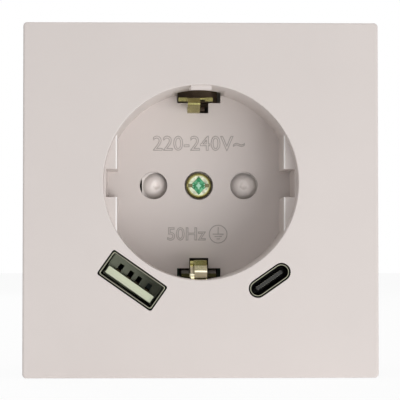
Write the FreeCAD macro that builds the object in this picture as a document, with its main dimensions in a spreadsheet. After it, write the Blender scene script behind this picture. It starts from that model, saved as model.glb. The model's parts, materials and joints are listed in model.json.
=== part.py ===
import FreeCAD, Part
import math
import os
import re
import Sketcher

# A flush wall socket: a square cover plate with a round earthed outlet and two charging ports.
# Millimetres. X runs to the right, Y from the viewer into the wall and Z up. The origin lies in
# the wall's plane, behind the middle of the plate, where the support ring meets the wall.

SIZES = {
    # clearances that several pieces share, and how far a cutting shape runs past what it cuts
    "play": 0.3,
    "slide_play": 0.1,
    "overrun": 1.0,
    # cover plate
    "plate_side": 71.0,
    "plate_corner": 0.8,
    "plate_front": -9.0,
    "plate_thickness": 2.2,
    "plate_edge": 0.45,
    "skirt_wall": 1.6,
    "skirt_back": -3.5,
    "stop_radius": 1.5,
    "stop_inset": 5.0,
    "stop_height": 15.0,
    # round recess for the plug, whose axis lies above the middle of the plate
    "axis_height": 3.5,
    "well_radius": 19.5,
    "well_wall": 1.3,
    "well_depth": 17.5,
    "well_edge": 0.25,
    "floor_thickness": 1.5,
    "flat_inset": 2.65,
    "flat_depth": 4.0,
    "notch_inset": 0.4,
    "notch_half": 2.85,
    "pin_across": 9.5,
    "pin_hole_radius": 2.9,
    # openings in the recess for the two earth clips
    "slot_step_inset": 2.15,
    "slot_narrow_length": 2.15,
    "slot_wall_cut": 0.8,
    "slot_narrow_half": 2.0,
    "slot_wide_half": 4.55,
    "slot_height": 5.7,
    "window_half": 2.15,
    "window_depth": 3.3,
    "window_bridge": 1.0,
    # cover screw, and the boss for it behind the recess floor
    "screw_head_radius": 2.7,
    "screw_head_height": 1.9,
    "screw_head_edge": 0.5,
    "screw_head_sink": 0.2,
    "screw_shank_radius": 1.45,
    "screw_play": 0.2,
    "screw_thread_play": 0.05,
    "screw_tip_length": 1.2,
    "cross_length": 3.4,
    "cross_width": 0.9,
    "cross_depth": 1.2,
    "drive_slot_width": 0.8,
    "drive_slot_depth": 0.6,
    "boss_wide_wall": 0.7,
    "boss_seat": 0.6,
    "boss_wall": 0.95,
    # shutter, which covers both pin holes and slides up, and its tray
    "shutter_gap": 0.2,
    "shutter_thickness": 1.6,
    "shutter_edge": 0.2,
    "shutter_above": 3.2,
    "shutter_bridge_half": 4.6,
    "shutter_bridge_rise": 1.6,
    "pad_left_shift": 0.5,
    "pad_gap": 0.15,
    "spring_coil_radius": 1.1,
    "spring_wire_radius": 0.15,
    "spring_turns": 7,
    "tray_boss_gap": 0.5,
    "tray_top_gap": 0.2,
    "tray_wall": 0.8,
    "tray_floor": 1.0,
    # earth strap, clips and rivets
    "strap_half": 4.0,
    "strap_thickness": 1.0,
    "strap_edge": 1.5,
    "strap_boss_length": 2.5,
    "rivet_gap": 0.1,
    "rivet_radius": 1.0,
    "rivet_head_radius": 1.4,
    "rivet_head_height": 0.6,
    "rivet_tail_height": 0.4,
    "clip_thickness": 0.8,
    "clip_leg_gap": 0.65,
    "clip_foot_edge": 1.0,
    "clip_side_play": 0.25,
    "clip_neck_half": 1.85,
    "clip_neck_length": 4.0,
    "clip_tongue_half": 1.28,
    "clip_tongue_gap": 2.0,
    "clip_depth": 5.0,
    "clip_bow": 0.8,
    "clip_bulge_length": 1.6,
    "clip_tip_length": 1.0,
    "clip_tip_half": 1.85,
    "top_clip_offset": -0.7,
    "top_tongue_offset": -0.6,
    "top_shoulder_height": 1.5,
    "top_clip_lean": 0.0,
    "top_clip_bend": -0.6,
    "top_clip_bulge": 3.4,
    "bottom_clip_offset": -0.1,
    "bottom_tongue_offset": 0.2,
    "bottom_shoulder_height": 4.0,
    "bottom_clip_lean": 0.8,
    "bottom_clip_bend": 1.2,
    "bottom_clip_bulge": 2.4,
    # carrier behind the tray, with the line and neutral contacts
    "carrier_side": 3.2,
    "carrier_gap": 2.0,
    "carrier_cap": 2.7,
    "sleeve_bore": 2.35,
    "sleeve_wall": 0.75,
    "sleeve_slit_half": 0.6,
    "sleeve_gap": 0.4,
    "sleeve_length": 12.5,
    "contact_thickness": 0.8,
    "contact_merge": 0.6,
    "contact_setback": 2.3,
    "tab_overlap": 2.0,
    "tab_depth": 2.4,
    # screwless terminals: one plate each, two wires, one leaf spring and one release button
    "earth_face": -2.8,
    "terminal_half": 4.2,
    "terminal_setback": 5.7,
    "terminal_width": 4.6,
    "leaf_thickness": 0.4,
    "leaf_step": 0.8,
    "leaf_end": 0.45,
    "leaf_end_gap": 1.8,
    "leaf_length": 5.6,
    "leaf_slit": 0.2,
    "button_near": 0.8,
    "button_inset": 1.6,
    "button_half": 0.5,
    "button_gap": 1.4,
    "button_lead": 1.6,
    "button_proud": 0.6,
    "button_play": 0.2,
    "collar_near": 0.3,
    "collar_inset": 0.6,
    "collar_half": 1.1,
    "collar_length": 1.8,
    "wire_across": 1.3,
    "wire_web": 0.3,
    "wire_hole_radius": 1.5,
    # housing behind the wall, and the plate that closes its front
    "housing_wall": 1.3,
    "housing_back_wall": 1.5,
    "housing_edge": 1.0,
    "ledge_width": 1.0,
    "ledge_half": 3.0,
    "ledge_length": 2.0,
    "nub_step": 0.4,
    "nub_half": 1.5,
    "nub_start": 4.0,
    "nub_length": 2.5,
    "nub_play": 0.4,
    "board_post_inset": 3.0,
    "board_post_drop": 2.5,
    "board_post_radius": 1.4,
    "lid_thickness": 1.5,
    "lid_rim": 0.2,
    "peg_radius": 1.2,
    "peg_inset": 3.8,
    "peg_length": 4.1,
    "side_peg_angle": 17.0,
    # steel support ring
    "ring_margin": 5.0,
    "ring_corner": 8.0,
    "ring_thickness": 1.0,
    "ring_overlap": 1.0,
    "box_screw_gap": 2.6,
    "box_slot_half": 1.8,
    "box_slot_length": 5.0,
    "tab_thickness": 0.9,
    "tab_half": 3.5,
    "tab_length": 9.0,
    "relief_side": 0.2,
    "relief_length": 8.3,
    # charging ports, on a circle about the recess axis, each turned by the same angle
    "port_gap": 0.35,
    "port_angle": 35.0,
    "port_recess": 0.5,
    "port_depth": 9.5,
    "aperture_gap": 0.25,
    "sheet_wall": 0.3,
    "wide_port_length": 12.7,
    "wide_port_height": 5.5,
    "wide_port_corner": 0.5,
    "tongue_side": 0.9,
    "tongue_low": 1.75,
    "tongue_high": 0.2,
    "tongue_recess": 0.9,
    "lead_half": 0.5,
    "lead_pitch_inner": 1.0,
    "lead_pitch_outer": 3.5,
    "lead_thickness": 0.3,
    "lead_recess": 0.8,
    "lead_channel_top": 1.3,
    "small_port_length": 8.94,
    "small_port_height": 3.2,
    "small_tongue_side": 0.22,
    "small_tongue_thickness": 0.6,
    "small_tongue_recess": 1.3,
    "small_pad_pitch": 0.5,
    "small_pad_width": 0.26,
    "small_pad_thickness": 0.06,
    "small_pad_recess": 0.4,
    "small_pad_gap": 0.5,
    # circuit boards and what stands on them
    "board_thickness": 1.6,
    "board_play": 0.2,
    "port_board_top": -2.0,
    "power_board_top": -5.0,
    "header_left": 5.5,
    "header_length": 7.0,
    "header_rise": 4.1,
    "header_height": 2.0,
    "core_half": 7.0,
    "core_height": -11.2,
    "core_half_height": 2.0,
    "core_length": 11.2,
    "core_limb": 2.0,
    "core_middle_half": 1.8,
    "coil_half_height": 4.2,
    "coil_corner": 1.0,
    "capacitor_gap": 2.0,
    "capacitor_rim": 2.1,
    "input_capacitor_radius": 4.0,
    "input_capacitor_back_gap": 1.4,
    "output_capacitor_radius": 3.2,
    "output_capacitor_back_gap": 4.9,
    "chip_half": 3.0,
    "chip_height": -19.0,
    "chip_half_height": 2.0,
    "chip_thickness": 1.6,
    "rectifier_side": 0.6,
    "rectifier_length": 4.0,
    "rectifier_gap": 0.8,
    "rectifier_height": 3.6,
    "rectifier_thickness": 2.4,
    "fuse_gap": 0.6,
    "fuse_length": 6.4,
    "fuse_rise": 4.0,
    "fuse_radius": 1.2,
    "fuse_cap_length": 1.4,
    "fuse_cap_step": 0.1,
}

PADS_PER_ROW = 12

# Sizes that follow from those above, as formulas in the sheet. The radius of the parts in the
# wall clears the ports' outermost corner, the recess and the strap, and is rounded up to a tenth.
FORMULAS = {
    # depths, from the front to the back
    "before_plate": "plate_front - overrun",
    "plate_back": "plate_front + plate_thickness",
    "port_front": "plate_front + port_recess",
    "tongue_front": "port_front + tongue_recess",
    "lead_front": "tongue_front + lead_recess",
    "small_tongue_front": "port_front + small_tongue_recess",
    "small_pad_front": "small_tongue_front + small_pad_recess",
    "port_block_front": "port_front + port_depth",
    "port_board_front": "lid_thickness + peg_length",
    "port_board_back": "port_board_front + board_thickness",
    "floor_front": "plate_front + well_depth",
    "floor_back": "floor_front + floor_thickness",
    "head_seat": "floor_front + screw_head_sink + screw_head_height",
    "boss_step": "head_seat + boss_seat",
    "shutter_front": "boss_step + shutter_gap",
    "shutter_back": "shutter_front + shutter_thickness",
    "tray_back": "shutter_back + play + tray_floor",
    "strap_back": "tray_back + strap_thickness",
    "strap_boss_back": "strap_back + strap_boss_length",
    "screw_tip": "strap_boss_back + screw_tip_length",
    "power_board_front": "strap_back + rivet_tail_height + play",
    "power_board_back": "power_board_front + board_thickness",
    "tab_back": "power_board_back + tab_depth",
    "sleeve_front": "tray_back + sleeve_gap",
    "sleeve_back": "sleeve_front + sleeve_length",
    "contact_front": "sleeve_front + contact_setback",
    "terminal_front": "tray_back + terminal_setback",
    "leaf_end_depth": "terminal_front + leaf_end_gap",
    "leaf_back_depth": "leaf_end_depth + leaf_length",
    "button_front": "leaf_back_depth + button_gap",
    "housing_inside": "button_front + button_lead + collar_length + play",
    "housing_back": "housing_inside + housing_back_wall",
    "button_back": "housing_back + button_proud",
    # depths of the earth clips
    "clip_front": "plate_front + clip_depth",
    "clip_neck_front": "clip_front + clip_neck_length",
    "clip_bulge_back": "clip_neck_front + clip_bulge_length",
    "clip_tongue_back": "floor_front - clip_tongue_gap",
    "clip_tip": "floor_back + clip_tip_length",
    "slot_front": "floor_front - slot_height",
    # radii about the recess axis
    "well_outside": "well_radius + well_wall",
    "flat_reach": "well_radius - flat_inset",
    "notch_reach": "well_radius - notch_inset",
    "slot_step": "well_radius - slot_step_inset",
    "slot_inner": "slot_step - slot_narrow_length",
    "slot_outer": "well_radius + slot_wall_cut",
    "clip_leg_reach": "slot_step + clip_leg_gap",
    "clip_slot_reach": "(slot_inner + slot_step) / 2",
    "rivet_reach": "clip_leg_reach + clip_thickness / 2 + rivet_gap + rivet_head_radius",
    "clip_foot_reach": "rivet_reach + clip_foot_edge",
    "strap_reach": "rivet_reach + strap_edge",
    "port_radius": "well_outside + port_gap + wide_port_height / 2",
    # widths and radii of the screw, the shutter and its tray
    "clip_bar_half": "slot_wide_half + top_clip_offset - clip_side_play",
    "counterbore_radius": "screw_head_radius + play",
    "boss_wide_radius": "counterbore_radius + boss_wide_wall",
    "screw_hole_radius": "screw_shank_radius + screw_play",
    "boss_radius": "screw_hole_radius + boss_wall",
    "strap_bore_radius": "screw_shank_radius + screw_thread_play",
    "pad_radius": "pin_hole_radius - pad_gap",
    "pad_height": "shutter_front - floor_back - pad_gap",
    "pad_left_across": "pin_across - pad_left_shift",
    "shutter_left": "pad_left_across + pad_radius + shutter_edge",
    "shutter_right": "pin_across + pad_radius + shutter_edge",
    "shutter_notch_half": "boss_radius + play",
    "tray_across": "shutter_right + play + tray_wall",
    "tray_below": "boss_wide_radius + tray_boss_gap + tray_wall",
    "tray_above": "slot_inner + tray_top_gap",
    "shutter_below": "tray_below - tray_wall - play",
    "shutter_bridge_top": "shutter_above + shutter_bridge_rise",
    # holes for the ports, and the radii of the parts in the wall
    "wide_hole_length": "wide_port_length + 2 * aperture_gap",
    "wide_hole_height": "wide_port_height + 2 * aperture_gap",
    "small_hole_length": "small_port_length + 2 * aperture_gap",
    "small_hole_height": "small_port_height + 2 * aperture_gap",
    "wide_half": "wide_hole_length / 2",
    "wide_low": "port_radius + wide_hole_height / 2",
    "corner_across": "wide_half * cos(port_angle) + wide_low * sin(port_angle)",
    "corner_below": "wide_low * cos(port_angle) - wide_half * sin(port_angle) - axis_height",
    "corner_reach": "sqrt(corner_across ^ 2 + corner_below ^ 2)",
    "ledge_need": "axis_height + well_outside + ledge_width",
    "strap_need": "sqrt((axis_height + strap_reach) ^ 2 + strap_half ^ 2)",
    "inner_radius": "ceil(max(corner_reach + lid_rim; ledge_need; strap_need) * 10) / 10",
    "housing_inner": "inner_radius + play",
    "housing_radius": "housing_inner + housing_wall",
    "ledge_radius": "housing_inner - ledge_width",
    "board_radius": "inner_radius - board_play",
    "board_post_across": "board_radius - board_post_inset",
    "board_post_height": "power_board_top - board_post_drop",
    "peg_reach": "inner_radius - peg_inset",
    "lid_hole_radius": "well_outside + play",
    # support ring
    "ring_opening": "housing_radius - ring_overlap",
    "tab_inner": "housing_radius + play",
    "tab_outer": "tab_inner + tab_thickness",
    "nub_reach": "tab_outer + nub_step",
    "nub_end": "nub_start + nub_length",
    "relief_reach": "tab_outer + relief_length",
    "relief_half": "tab_half + relief_side",
    "box_screw_reach": "housing_radius + box_screw_gap",
    "ring_half": "box_screw_reach + ring_margin",
    "stop_across": "box_screw_reach - stop_inset",
    # contacts and terminals
    "sleeve_radius": "sleeve_bore + sleeve_wall",
    "contact_face": "pin_across + sleeve_radius - contact_merge",
    "contact_outside": "contact_face + contact_thickness",
    "carrier_half": "contact_outside + carrier_side",
    "terminal_top": "axis_height + rivet_reach - rivet_head_radius - play",
    "terminal_middle": "terminal_top - terminal_half",
    "terminal_bottom": "terminal_middle - terminal_half",
    "contact_top": "terminal_top - slide_play",
    "leaf_half": "terminal_half - play",
    "leaf_base": "terminal_width - play",
    "leaf_bend": "leaf_base - leaf_step",
    "button_far": "terminal_width - button_inset",
    "collar_far": "terminal_width - collar_inset",
    "wire_spread": "button_half + button_play + wire_web + wire_hole_radius",
    "carrier_top": "terminal_top + carrier_cap",
    "carrier_bottom": "power_board_top + carrier_gap",
    "tab_bottom": "power_board_top - tab_overlap",
    # ports and boards
    "tongue_half": "wide_port_length / 2 - tongue_side",
    "small_pad_back": "port_block_front - small_pad_gap",
    "small_pads_half": f"({PADS_PER_ROW} - 1) / 2 * small_pad_pitch + small_pad_width / 2",
    "small_tongue_half": "small_pads_half + small_tongue_side",
    "header_right": "header_left + header_length",
    "header_bottom": "header_rise - board_radius",
    "header_top": "header_bottom + header_height",
    "coil_half": "core_half - core_limb - play",
    "input_capacitor_across": "-core_half - capacitor_gap - input_capacitor_radius",
    "output_capacitor_across": "core_half + capacitor_gap + output_capacitor_radius",
    "input_reach": "board_radius - capacitor_rim - input_capacitor_radius",
    "output_reach": "board_radius - capacitor_rim - output_capacitor_radius",
    "input_capacitor_height": "-sqrt(input_reach ^ 2 - input_capacitor_across ^ 2)",
    "output_capacitor_height": "-sqrt(output_reach ^ 2 - output_capacitor_across ^ 2)",
    "rectifier_bottom": "output_capacitor_height + output_capacitor_radius + rectifier_gap",
    "rectifier_top": "rectifier_bottom + rectifier_height",
    "rectifier_left": "core_half + rectifier_side",
    "rectifier_right": "rectifier_left + rectifier_length",
    "fuse_right": "-chip_half - fuse_gap",
    "fuse_left": "fuse_right - fuse_length",
    "fuse_height": "fuse_rise - board_radius",
}

# Where each terminal's contact plate has its wire face, and the way from there to the wire
TERMINALS = {
    "line": ("(-contact_face)", 1),
    "neutral": ("contact_face", -1),
    "earth": ("earth_face", 1),
}

SIDES = {"line": -1, "neutral": 1}
QUARTERS = (45, 135, 225, 315)

os.makedirs("parts", exist_ok=True)
doc = FreeCAD.newDocument("usb_wall_socket")
sheet = doc.addObject("Spreadsheet::Sheet", "Sizes")
ENTRIES = {alias: str(size) for alias, size in SIZES.items()}
ENTRIES.update((alias, f"={formula}") for alias, formula in FORMULAS.items())
for row, (alias, entry) in enumerate(ENTRIES.items(), start=1):
    sheet.set(f"A{row}", alias)
    sheet.set(f"B{row}", entry)
    sheet.setAlias(f"B{row}", alias)
doc.recompute()

NODES = []


def full(text):
    """Write an expression with the sheet's name before each of its sizes."""
    return re.sub(
        r"[a-z]\w*",
        lambda word: f"Sizes.{word.group()}" if word.group() in ENTRIES else word.group(),
        str(text),
    )


def bind(thing, setting, text):
    """Bind one setting of an object to an expression of the sheet's sizes."""
    thing.setExpression(setting, full(text))


def bind_place(thing, x, y, z):
    """Bind the three coordinates of an object's place."""
    bind(thing, "Placement.Base.x", x)
    bind(thing, "Placement.Base.y", y)
    bind(thing, "Placement.Base.z", z)


def node(thing, label):
    """Name a finished sub-part and keep it for export."""
    thing.Label = label
    NODES.append(thing)
    return thing


def centred(half):
    """A span of the given half width about zero."""
    return (f"-({half})", f"({half})")


def about(middle, half):
    """A span of the given half width about a middle."""
    return (f"({middle}) - ({half})", f"({middle}) + ({half})")


def sided(side, near, far):
    """A span on the right for side 1, and its mirror image for side -1."""
    if side > 0:
        return (f"({near})", f"({far})")
    return (f"-({far})", f"-({near})")


def block(name, x_span, y_span, z_span):
    """A box between two expressions on each axis."""
    box = doc.addObject("Part::Box", name)
    spans = (("Length", x_span), ("Width", y_span), ("Height", z_span))
    for setting, (low, high) in spans:
        bind(box, setting, f"({high}) - ({low})")
    bind_place(box, x_span[0], y_span[0], z_span[0])
    return box


def rod(name, radius, y_span, x="0", z="0"):
    """A cylinder that runs along Y."""
    bar = doc.addObject("Part::Cylinder", name)
    bar.Placement = FreeCAD.Placement(
        FreeCAD.Vector(), FreeCAD.Rotation(FreeCAD.Vector(1, 0, 0), -90)
    )
    bind(bar, "Radius", radius)
    bind(bar, "Height", f"({y_span[1]}) - ({y_span[0]})")
    bind_place(bar, x, y_span[0], z)
    return bar


def fuse(name, *pieces):
    """Join overlapping or touching pieces."""
    whole = doc.addObject("Part::MultiFuse", name)
    whole.Shapes = list(pieces)
    whole.Refine = True
    return whole


def cut(name, base, *tools):
    """Take tools away from a base."""
    rest = doc.addObject("Part::Cut", name)
    rest.Base = base
    rest.Tool = tools[0] if len(tools) == 1 else fuse(name + "_tools", *tools)
    rest.Refine = True
    return rest


def common(name, first, second):
    """Keep what two pieces share."""
    shared = doc.addObject("Part::Common", name)
    shared.Base = first
    shared.Tool = second
    shared.Refine = True
    return shared


def group(name, *pieces):
    """Keep several separate solids as one object."""
    kit = doc.addObject("Part::Compound", name)
    kit.Links = list(pieces)
    return kit


def turned(thing, angle, height="0"):
    """Turn an object about an axis along Y that passes at the given height."""
    thing.Placement = FreeCAD.Placement(
        FreeCAD.Vector(), FreeCAD.Rotation(FreeCAD.Vector(0, 1, 0), 1)
    )
    bind(thing, "Placement.Rotation.Angle", angle)
    bind(thing, "Placement.Base.z", height)
    return thing


def rounded(name, base, radius, wanted):
    """Round the edges of a shape for which a test on the edge holds."""
    doc.recompute()
    size = sheet.get(radius)
    round_off = doc.addObject("Part::Fillet", name)
    round_off.Base = base
    round_off.Edges = [
        (number, size, size)
        for number, edge in enumerate(base.Shape.Edges, start=1)
        if wanted(edge)
    ]
    return round_off


def runs_in_depth(edge):
    """Whether an edge is a straight line along Y."""
    box = edge.BoundBox
    return box.YLength > 1e-4 and box.XLength < 1e-4 and box.ZLength < 1e-4


def lies_at(edge, y):
    """Whether an edge lies wholly at one depth."""
    box = edge.BoundBox
    return abs(box.YMin - y) < 1e-4 and abs(box.YMax - y) < 1e-4


def draw(sketch, corners, closed):
    """Draw straight lines through corners whose two coordinates are bound to expressions."""
    count = len(corners)
    turns = [2 * math.pi * step / count for step in range(count)]
    ring = [FreeCAD.Vector(math.cos(turn), math.sin(turn), 0) for turn in turns]
    lines = count if closed else count - 1
    for step in range(lines):
        sketch.addGeometry(Part.LineSegment(ring[step], ring[(step + 1) % count]))
    for step in range(lines - 1):
        sketch.addConstraint(Sketcher.Constraint("Coincident", step, 2, step + 1, 1))
    if closed:
        sketch.addConstraint(Sketcher.Constraint("Coincident", lines - 1, 2, 0, 1))
    for step, (across, along) in enumerate(corners):
        line, end = (step, 1) if step < lines else (step - 1, 2)
        for kind, text in (("DistanceX", across), ("DistanceY", along)):
            number = sketch.addConstraint(Sketcher.Constraint(kind, -1, 1, line, end, 1.0))
            bind(sketch, f"Constraints[{number}]", text)


def slab(name, y_span, corners):
    """A body padded from a closed front-view outline, of corners in X and Z."""
    body = doc.addObject("PartDesign::Body", name)
    plane = next(item for item in body.Origin.OriginFeatures if item.Role == "XZ_Plane")
    sketch = body.newObject("Sketcher::SketchObject", name + "_outline")
    sketch.AttachmentSupport = [(plane, "")]
    sketch.MapMode = "FlatFace"
    bind(sketch, "AttachmentOffset.Base.z", f"-({y_span[1]})")
    draw(sketch, corners, closed=True)
    pad = body.newObject("PartDesign::Pad", name + "_pad")
    pad.Profile = sketch
    bind(pad, "Length", f"({y_span[1]}) - ({y_span[0]})")
    return body


def strip(name, turn, thickness, width, corners):
    """Bent sheet metal: a line offset to both sides by half its thickness, then extruded."""
    line = doc.addObject("Sketcher::SketchObject", name + "_line")
    line.Placement = FreeCAD.Placement(FreeCAD.Vector(), turn)
    draw(line, corners, closed=False)
    ribbon = doc.addObject("Part::Offset2D", name + "_ribbon")
    ribbon.Source = line
    ribbon.Fill = True
    bind(ribbon, "Value", f"({thickness}) / 2")
    sheet_metal = doc.addObject("Part::Extrusion", name)
    sheet_metal.Base = ribbon
    sheet_metal.DirMode = "Normal"
    sheet_metal.Symmetric = True
    sheet_metal.Solid = True
    bind(sheet_metal, "LengthFwd", width)
    return sheet_metal


def wide_outline(name, length, height, y_span, corner):
    """The rounded rectangle of the wide charging port, straight below the recess axis."""
    box = block(
        name + "_box", centred(f"{length} / 2"), y_span, about("-port_radius", f"{height} / 2")
    )
    return rounded(name, box, corner, runs_in_depth)


def small_outline(name, length, height, y_span):
    """The stadium of the small charging port, straight below the recess axis."""
    reach = f"({length} - {height}) / 2"
    middle = block(name + "_middle", centred(reach), y_span, about("-port_radius", f"({height}) / 2"))
    ends = [
        rod(f"{name}_end_{number}", f"({height}) / 2", y_span, f"{sign}({reach})", "-port_radius")
        for number, sign in enumerate(("-", "+"))
    ]
    return fuse(name, middle, *ends)


def make_cover_plate():
    """The moulding with the visible face, the plug recess and the screw boss."""
    half = "plate_side / 2"
    outer = block("plate_block", centred(half), ("plate_front", "skirt_back"), centred(half))
    outer = rounded("plate_corners", outer, "plate_corner", runs_in_depth)
    front = sheet.get("plate_front")
    outer = rounded("plate_edges", outer, "plate_edge", lambda edge: lies_at(edge, front))
    inside = "plate_side / 2 - skirt_wall"
    hollow_span = ("plate_back", "skirt_back + overrun")
    hollow = block("plate_hollow", centred(inside), hollow_span, centred(inside))
    shell = cut("plate_shell", outer, hollow)
    tube_start = "plate_front + plate_thickness / 2"
    tube = rod("well_tube", "well_outside", (tube_start, "floor_back"), z="axis_height")
    wide_boss = rod("boss_wide", "boss_wide_radius", ("floor_front", "boss_step"), z="axis_height")
    boss = rod("boss_narrow", "boss_radius", ("floor_front", "tray_back"), z="axis_height")
    stop_span = (tube_start, "-ring_thickness")
    stops = [
        rod(f"stop_{x}{z}", "stop_radius", stop_span, x + "stop_across", z + "stop_height")
        for x in ("-", "+")
        for z in ("-", "+")
    ]
    solid = fuse("plate_solid", shell, tube, wide_boss, boss, *stops)
    cover = cut("cover_moulding", solid, make_recess(), *make_recess_openings(), *make_port_holes())
    rim = sheet.get("well_radius")

    def is_rim(edge):
        return lies_at(edge, front) and abs(edge.BoundBox.XMax - rim) < 1e-3

    node(rounded("cover", cover, "well_edge", is_rim), "cover_plate")


def make_recess():
    """The space of the plug recess: a cylinder less its two guide flats."""
    space = rod("recess_space", "well_radius", ("before_plate", "floor_front"), z="axis_height")
    flats = []
    for name, side in SIDES.items():
        flat_front = "plate_front + flat_depth"
        flat = block(
            f"flat_{name}",
            sided(side, "flat_reach", "well_radius + overrun"),
            (flat_front, "floor_front + overrun / 2"),
            about("axis_height", "well_radius"),
        )
        notch = block(
            f"notch_{name}",
            sided(side, "flat_reach - overrun", "notch_reach"),
            (f"{flat_front} - overrun", "floor_front + overrun"),
            about("axis_height", "notch_half"),
        )
        flats.append(cut(f"notched_flat_{name}", flat, notch))
    return cut("recess", space, *flats)


def make_recess_openings():
    """Pin holes, screw hole and the slots for both earth clips."""
    through = ("floor_front - overrun", "floor_back + overrun")
    openings = [
        rod(f"pin_hole_{name}", "pin_hole_radius", through, f"{side} * pin_across", "axis_height")
        for name, side in SIDES.items()
    ]
    sink = ("floor_front - overrun", "head_seat")
    openings.append(rod("counterbore", "counterbore_radius", sink, z="axis_height"))
    openings.append(
        rod("screw_hole", "screw_hole_radius", ("floor_front", "tray_back + overrun"), z="axis_height")
    )
    for name, angle in (("top", "0"), ("bottom", "180")):
        narrow = block(
            f"slot_narrow_{name}",
            centred("slot_narrow_half"),
            through,
            ("slot_inner", "slot_step + overrun"),
        )
        wide = block(
            f"slot_wide_{name}",
            centred("slot_wide_half"),
            ("slot_front", through[1]),
            ("slot_step", "slot_outer"),
        )
        window = block(
            f"window_{name}",
            centred("window_half"),
            ("plate_front + window_depth", "slot_front - window_bridge"),
            ("slot_step", "slot_outer"),
        )
        slots = fuse(f"clip_slots_{name}", narrow, wide, window)
        openings.append(turned(slots, angle, "axis_height"))
    return openings


def make_port_holes():
    """The two port apertures in the plate."""
    span = ("before_plate", "plate_back + overrun")
    wide = wide_outline(
        "wide_aperture", "wide_hole_length", "wide_hole_height", span, "wide_port_corner"
    )
    small = small_outline("small_aperture", "small_hole_length", "small_hole_height", span)
    wide_placed = group("wide_aperture_placed", wide)
    small_placed = group("small_aperture_placed", small)
    return [
        turned(wide_placed, "port_angle", "axis_height"),
        turned(small_placed, "-port_angle", "axis_height"),
    ]


def make_cover_screw():
    """The screw with a round head, a cross and a slot, that holds the cover to the strap."""
    head_front = "(head_seat - screw_head_height)"
    head = rod("screw_head", "screw_head_radius", (head_front, "head_seat"))
    doc.recompute()
    front = head.Shape.BoundBox.YMin
    head = rounded("screw_head_round", head, "screw_head_edge", lambda edge: lies_at(edge, front))
    shank_span = ("head_seat - screw_head_height / 2", "screw_tip")
    shank = rod("screw_shank", "screw_shank_radius", shank_span)
    cross_span = ("before_plate", f"{head_front} + cross_depth")
    long, wide = centred("cross_length / 2"), centred("cross_width / 2")
    tools = [
        block("cross_level", long, cross_span, wide),
        block("cross_upright", wide, cross_span, long),
        block(
            "drive_slot",
            centred("screw_head_radius + overrun"),
            ("before_plate", f"{head_front} + drive_slot_depth"),
            centred("drive_slot_width / 2"),
        ),
    ]
    screw = cut("screw", fuse("screw_blank", head, shank), *tools)
    bind(screw, "Placement.Base.z", "axis_height")
    node(screw, "cover_screw")


def make_shutter_slider():
    """One moulding with a domed pad behind each pin hole; its notch clears the screw boss."""
    low = "axis_height - shutter_below"
    high = "axis_height + shutter_above"
    notch_top = "axis_height + shutter_notch_half"
    bridge_top = "axis_height + shutter_bridge_top"
    corners = [
        ("-shutter_left", low),
        ("-shutter_notch_half", low),
        ("-shutter_notch_half", notch_top),
        ("shutter_notch_half", notch_top),
        ("shutter_notch_half", low),
        ("shutter_right", low),
        ("shutter_right", high),
        ("shutter_bridge_half", high),
        ("shutter_bridge_half", bridge_top),
        ("-shutter_bridge_half", bridge_top),
        ("-shutter_bridge_half", high),
        ("-shutter_left", high),
    ]
    pieces = [slab("shutter_plate", ("shutter_front", "shutter_back"), corners)]
    ball_radius = "(pad_radius ^ 2 + pad_height ^ 2) / (2 * pad_height)"
    for name, across in (("left", "-pad_left_across"), ("right", "pin_across")):
        ball = doc.addObject("Part::Sphere", f"pad_ball_{name}")
        bind(ball, "Radius", ball_radius)
        bind_place(ball, across, f"shutter_front - pad_height + {ball_radius}", "axis_height")
        core = rod(
            f"pad_core_{name}",
            "pad_radius",
            ("shutter_front - pad_height - overrun", "shutter_front + shutter_thickness / 2"),
            across,
            "axis_height",
        )
        pieces.append(common(f"pad_{name}", ball, core))
    node(fuse("shutter", *pieces), "shutter_slider")


def make_shutter_spring():
    """The coil spring between the shutter's bridge and the top of its tray."""
    low = "(axis_height + shutter_bridge_top + spring_wire_radius)"
    high = "(axis_height + tray_above - tray_wall - spring_wire_radius)"
    depth = "shutter_front + shutter_thickness / 4"
    helix = doc.addObject("Part::Helix", "spring_line")
    bind(helix, "Radius", "spring_coil_radius")
    bind(helix, "Height", f"{high} - {low}")
    bind(helix, "Pitch", f"({high} - {low}) / spring_turns")
    section = doc.addObject("Part::Circle", "spring_section")
    section.Placement = FreeCAD.Placement(
        FreeCAD.Vector(), FreeCAD.Rotation(FreeCAD.Vector(1, 0, 0), 90)
    )
    bind(section, "Radius", "spring_wire_radius")
    bind(section, "Placement.Base.x", "spring_coil_radius")
    doc.recompute()
    coil = doc.addObject("Part::Sweep", "spring_coil")
    coil.Sections = [section]
    coil.Spine = (helix, ["Edge1"])
    coil.Solid = True
    coil.Frenet = True
    spring = group("spring", coil)
    bind_place(spring, "0", depth, low)
    node(spring, "shutter_spring")


def make_shutter_tray():
    """The shallow box behind the recess floor in which the shutter slides."""
    outer = block(
        "tray_outer",
        centred("tray_across"),
        ("floor_back", "tray_back"),
        ("axis_height - tray_below", "axis_height + tray_above"),
    )
    inner = block(
        "tray_inner",
        centred("tray_across - tray_wall"),
        ("floor_back - overrun", "tray_back - tray_floor"),
        ("axis_height - tray_below + tray_wall", "axis_height + tray_above - tray_wall"),
    )
    through = ("floor_back", "tray_back + overrun")
    holes = [
        rod(f"tray_hole_{name}", "pin_hole_radius", through, f"{side} * pin_across", "axis_height")
        for name, side in SIDES.items()
    ]
    holes.append(rod("tray_hole_boss", "boss_radius + play", through, z="axis_height"))
    node(cut("tray", outer, inner, *holes), "shutter_tray")


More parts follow.
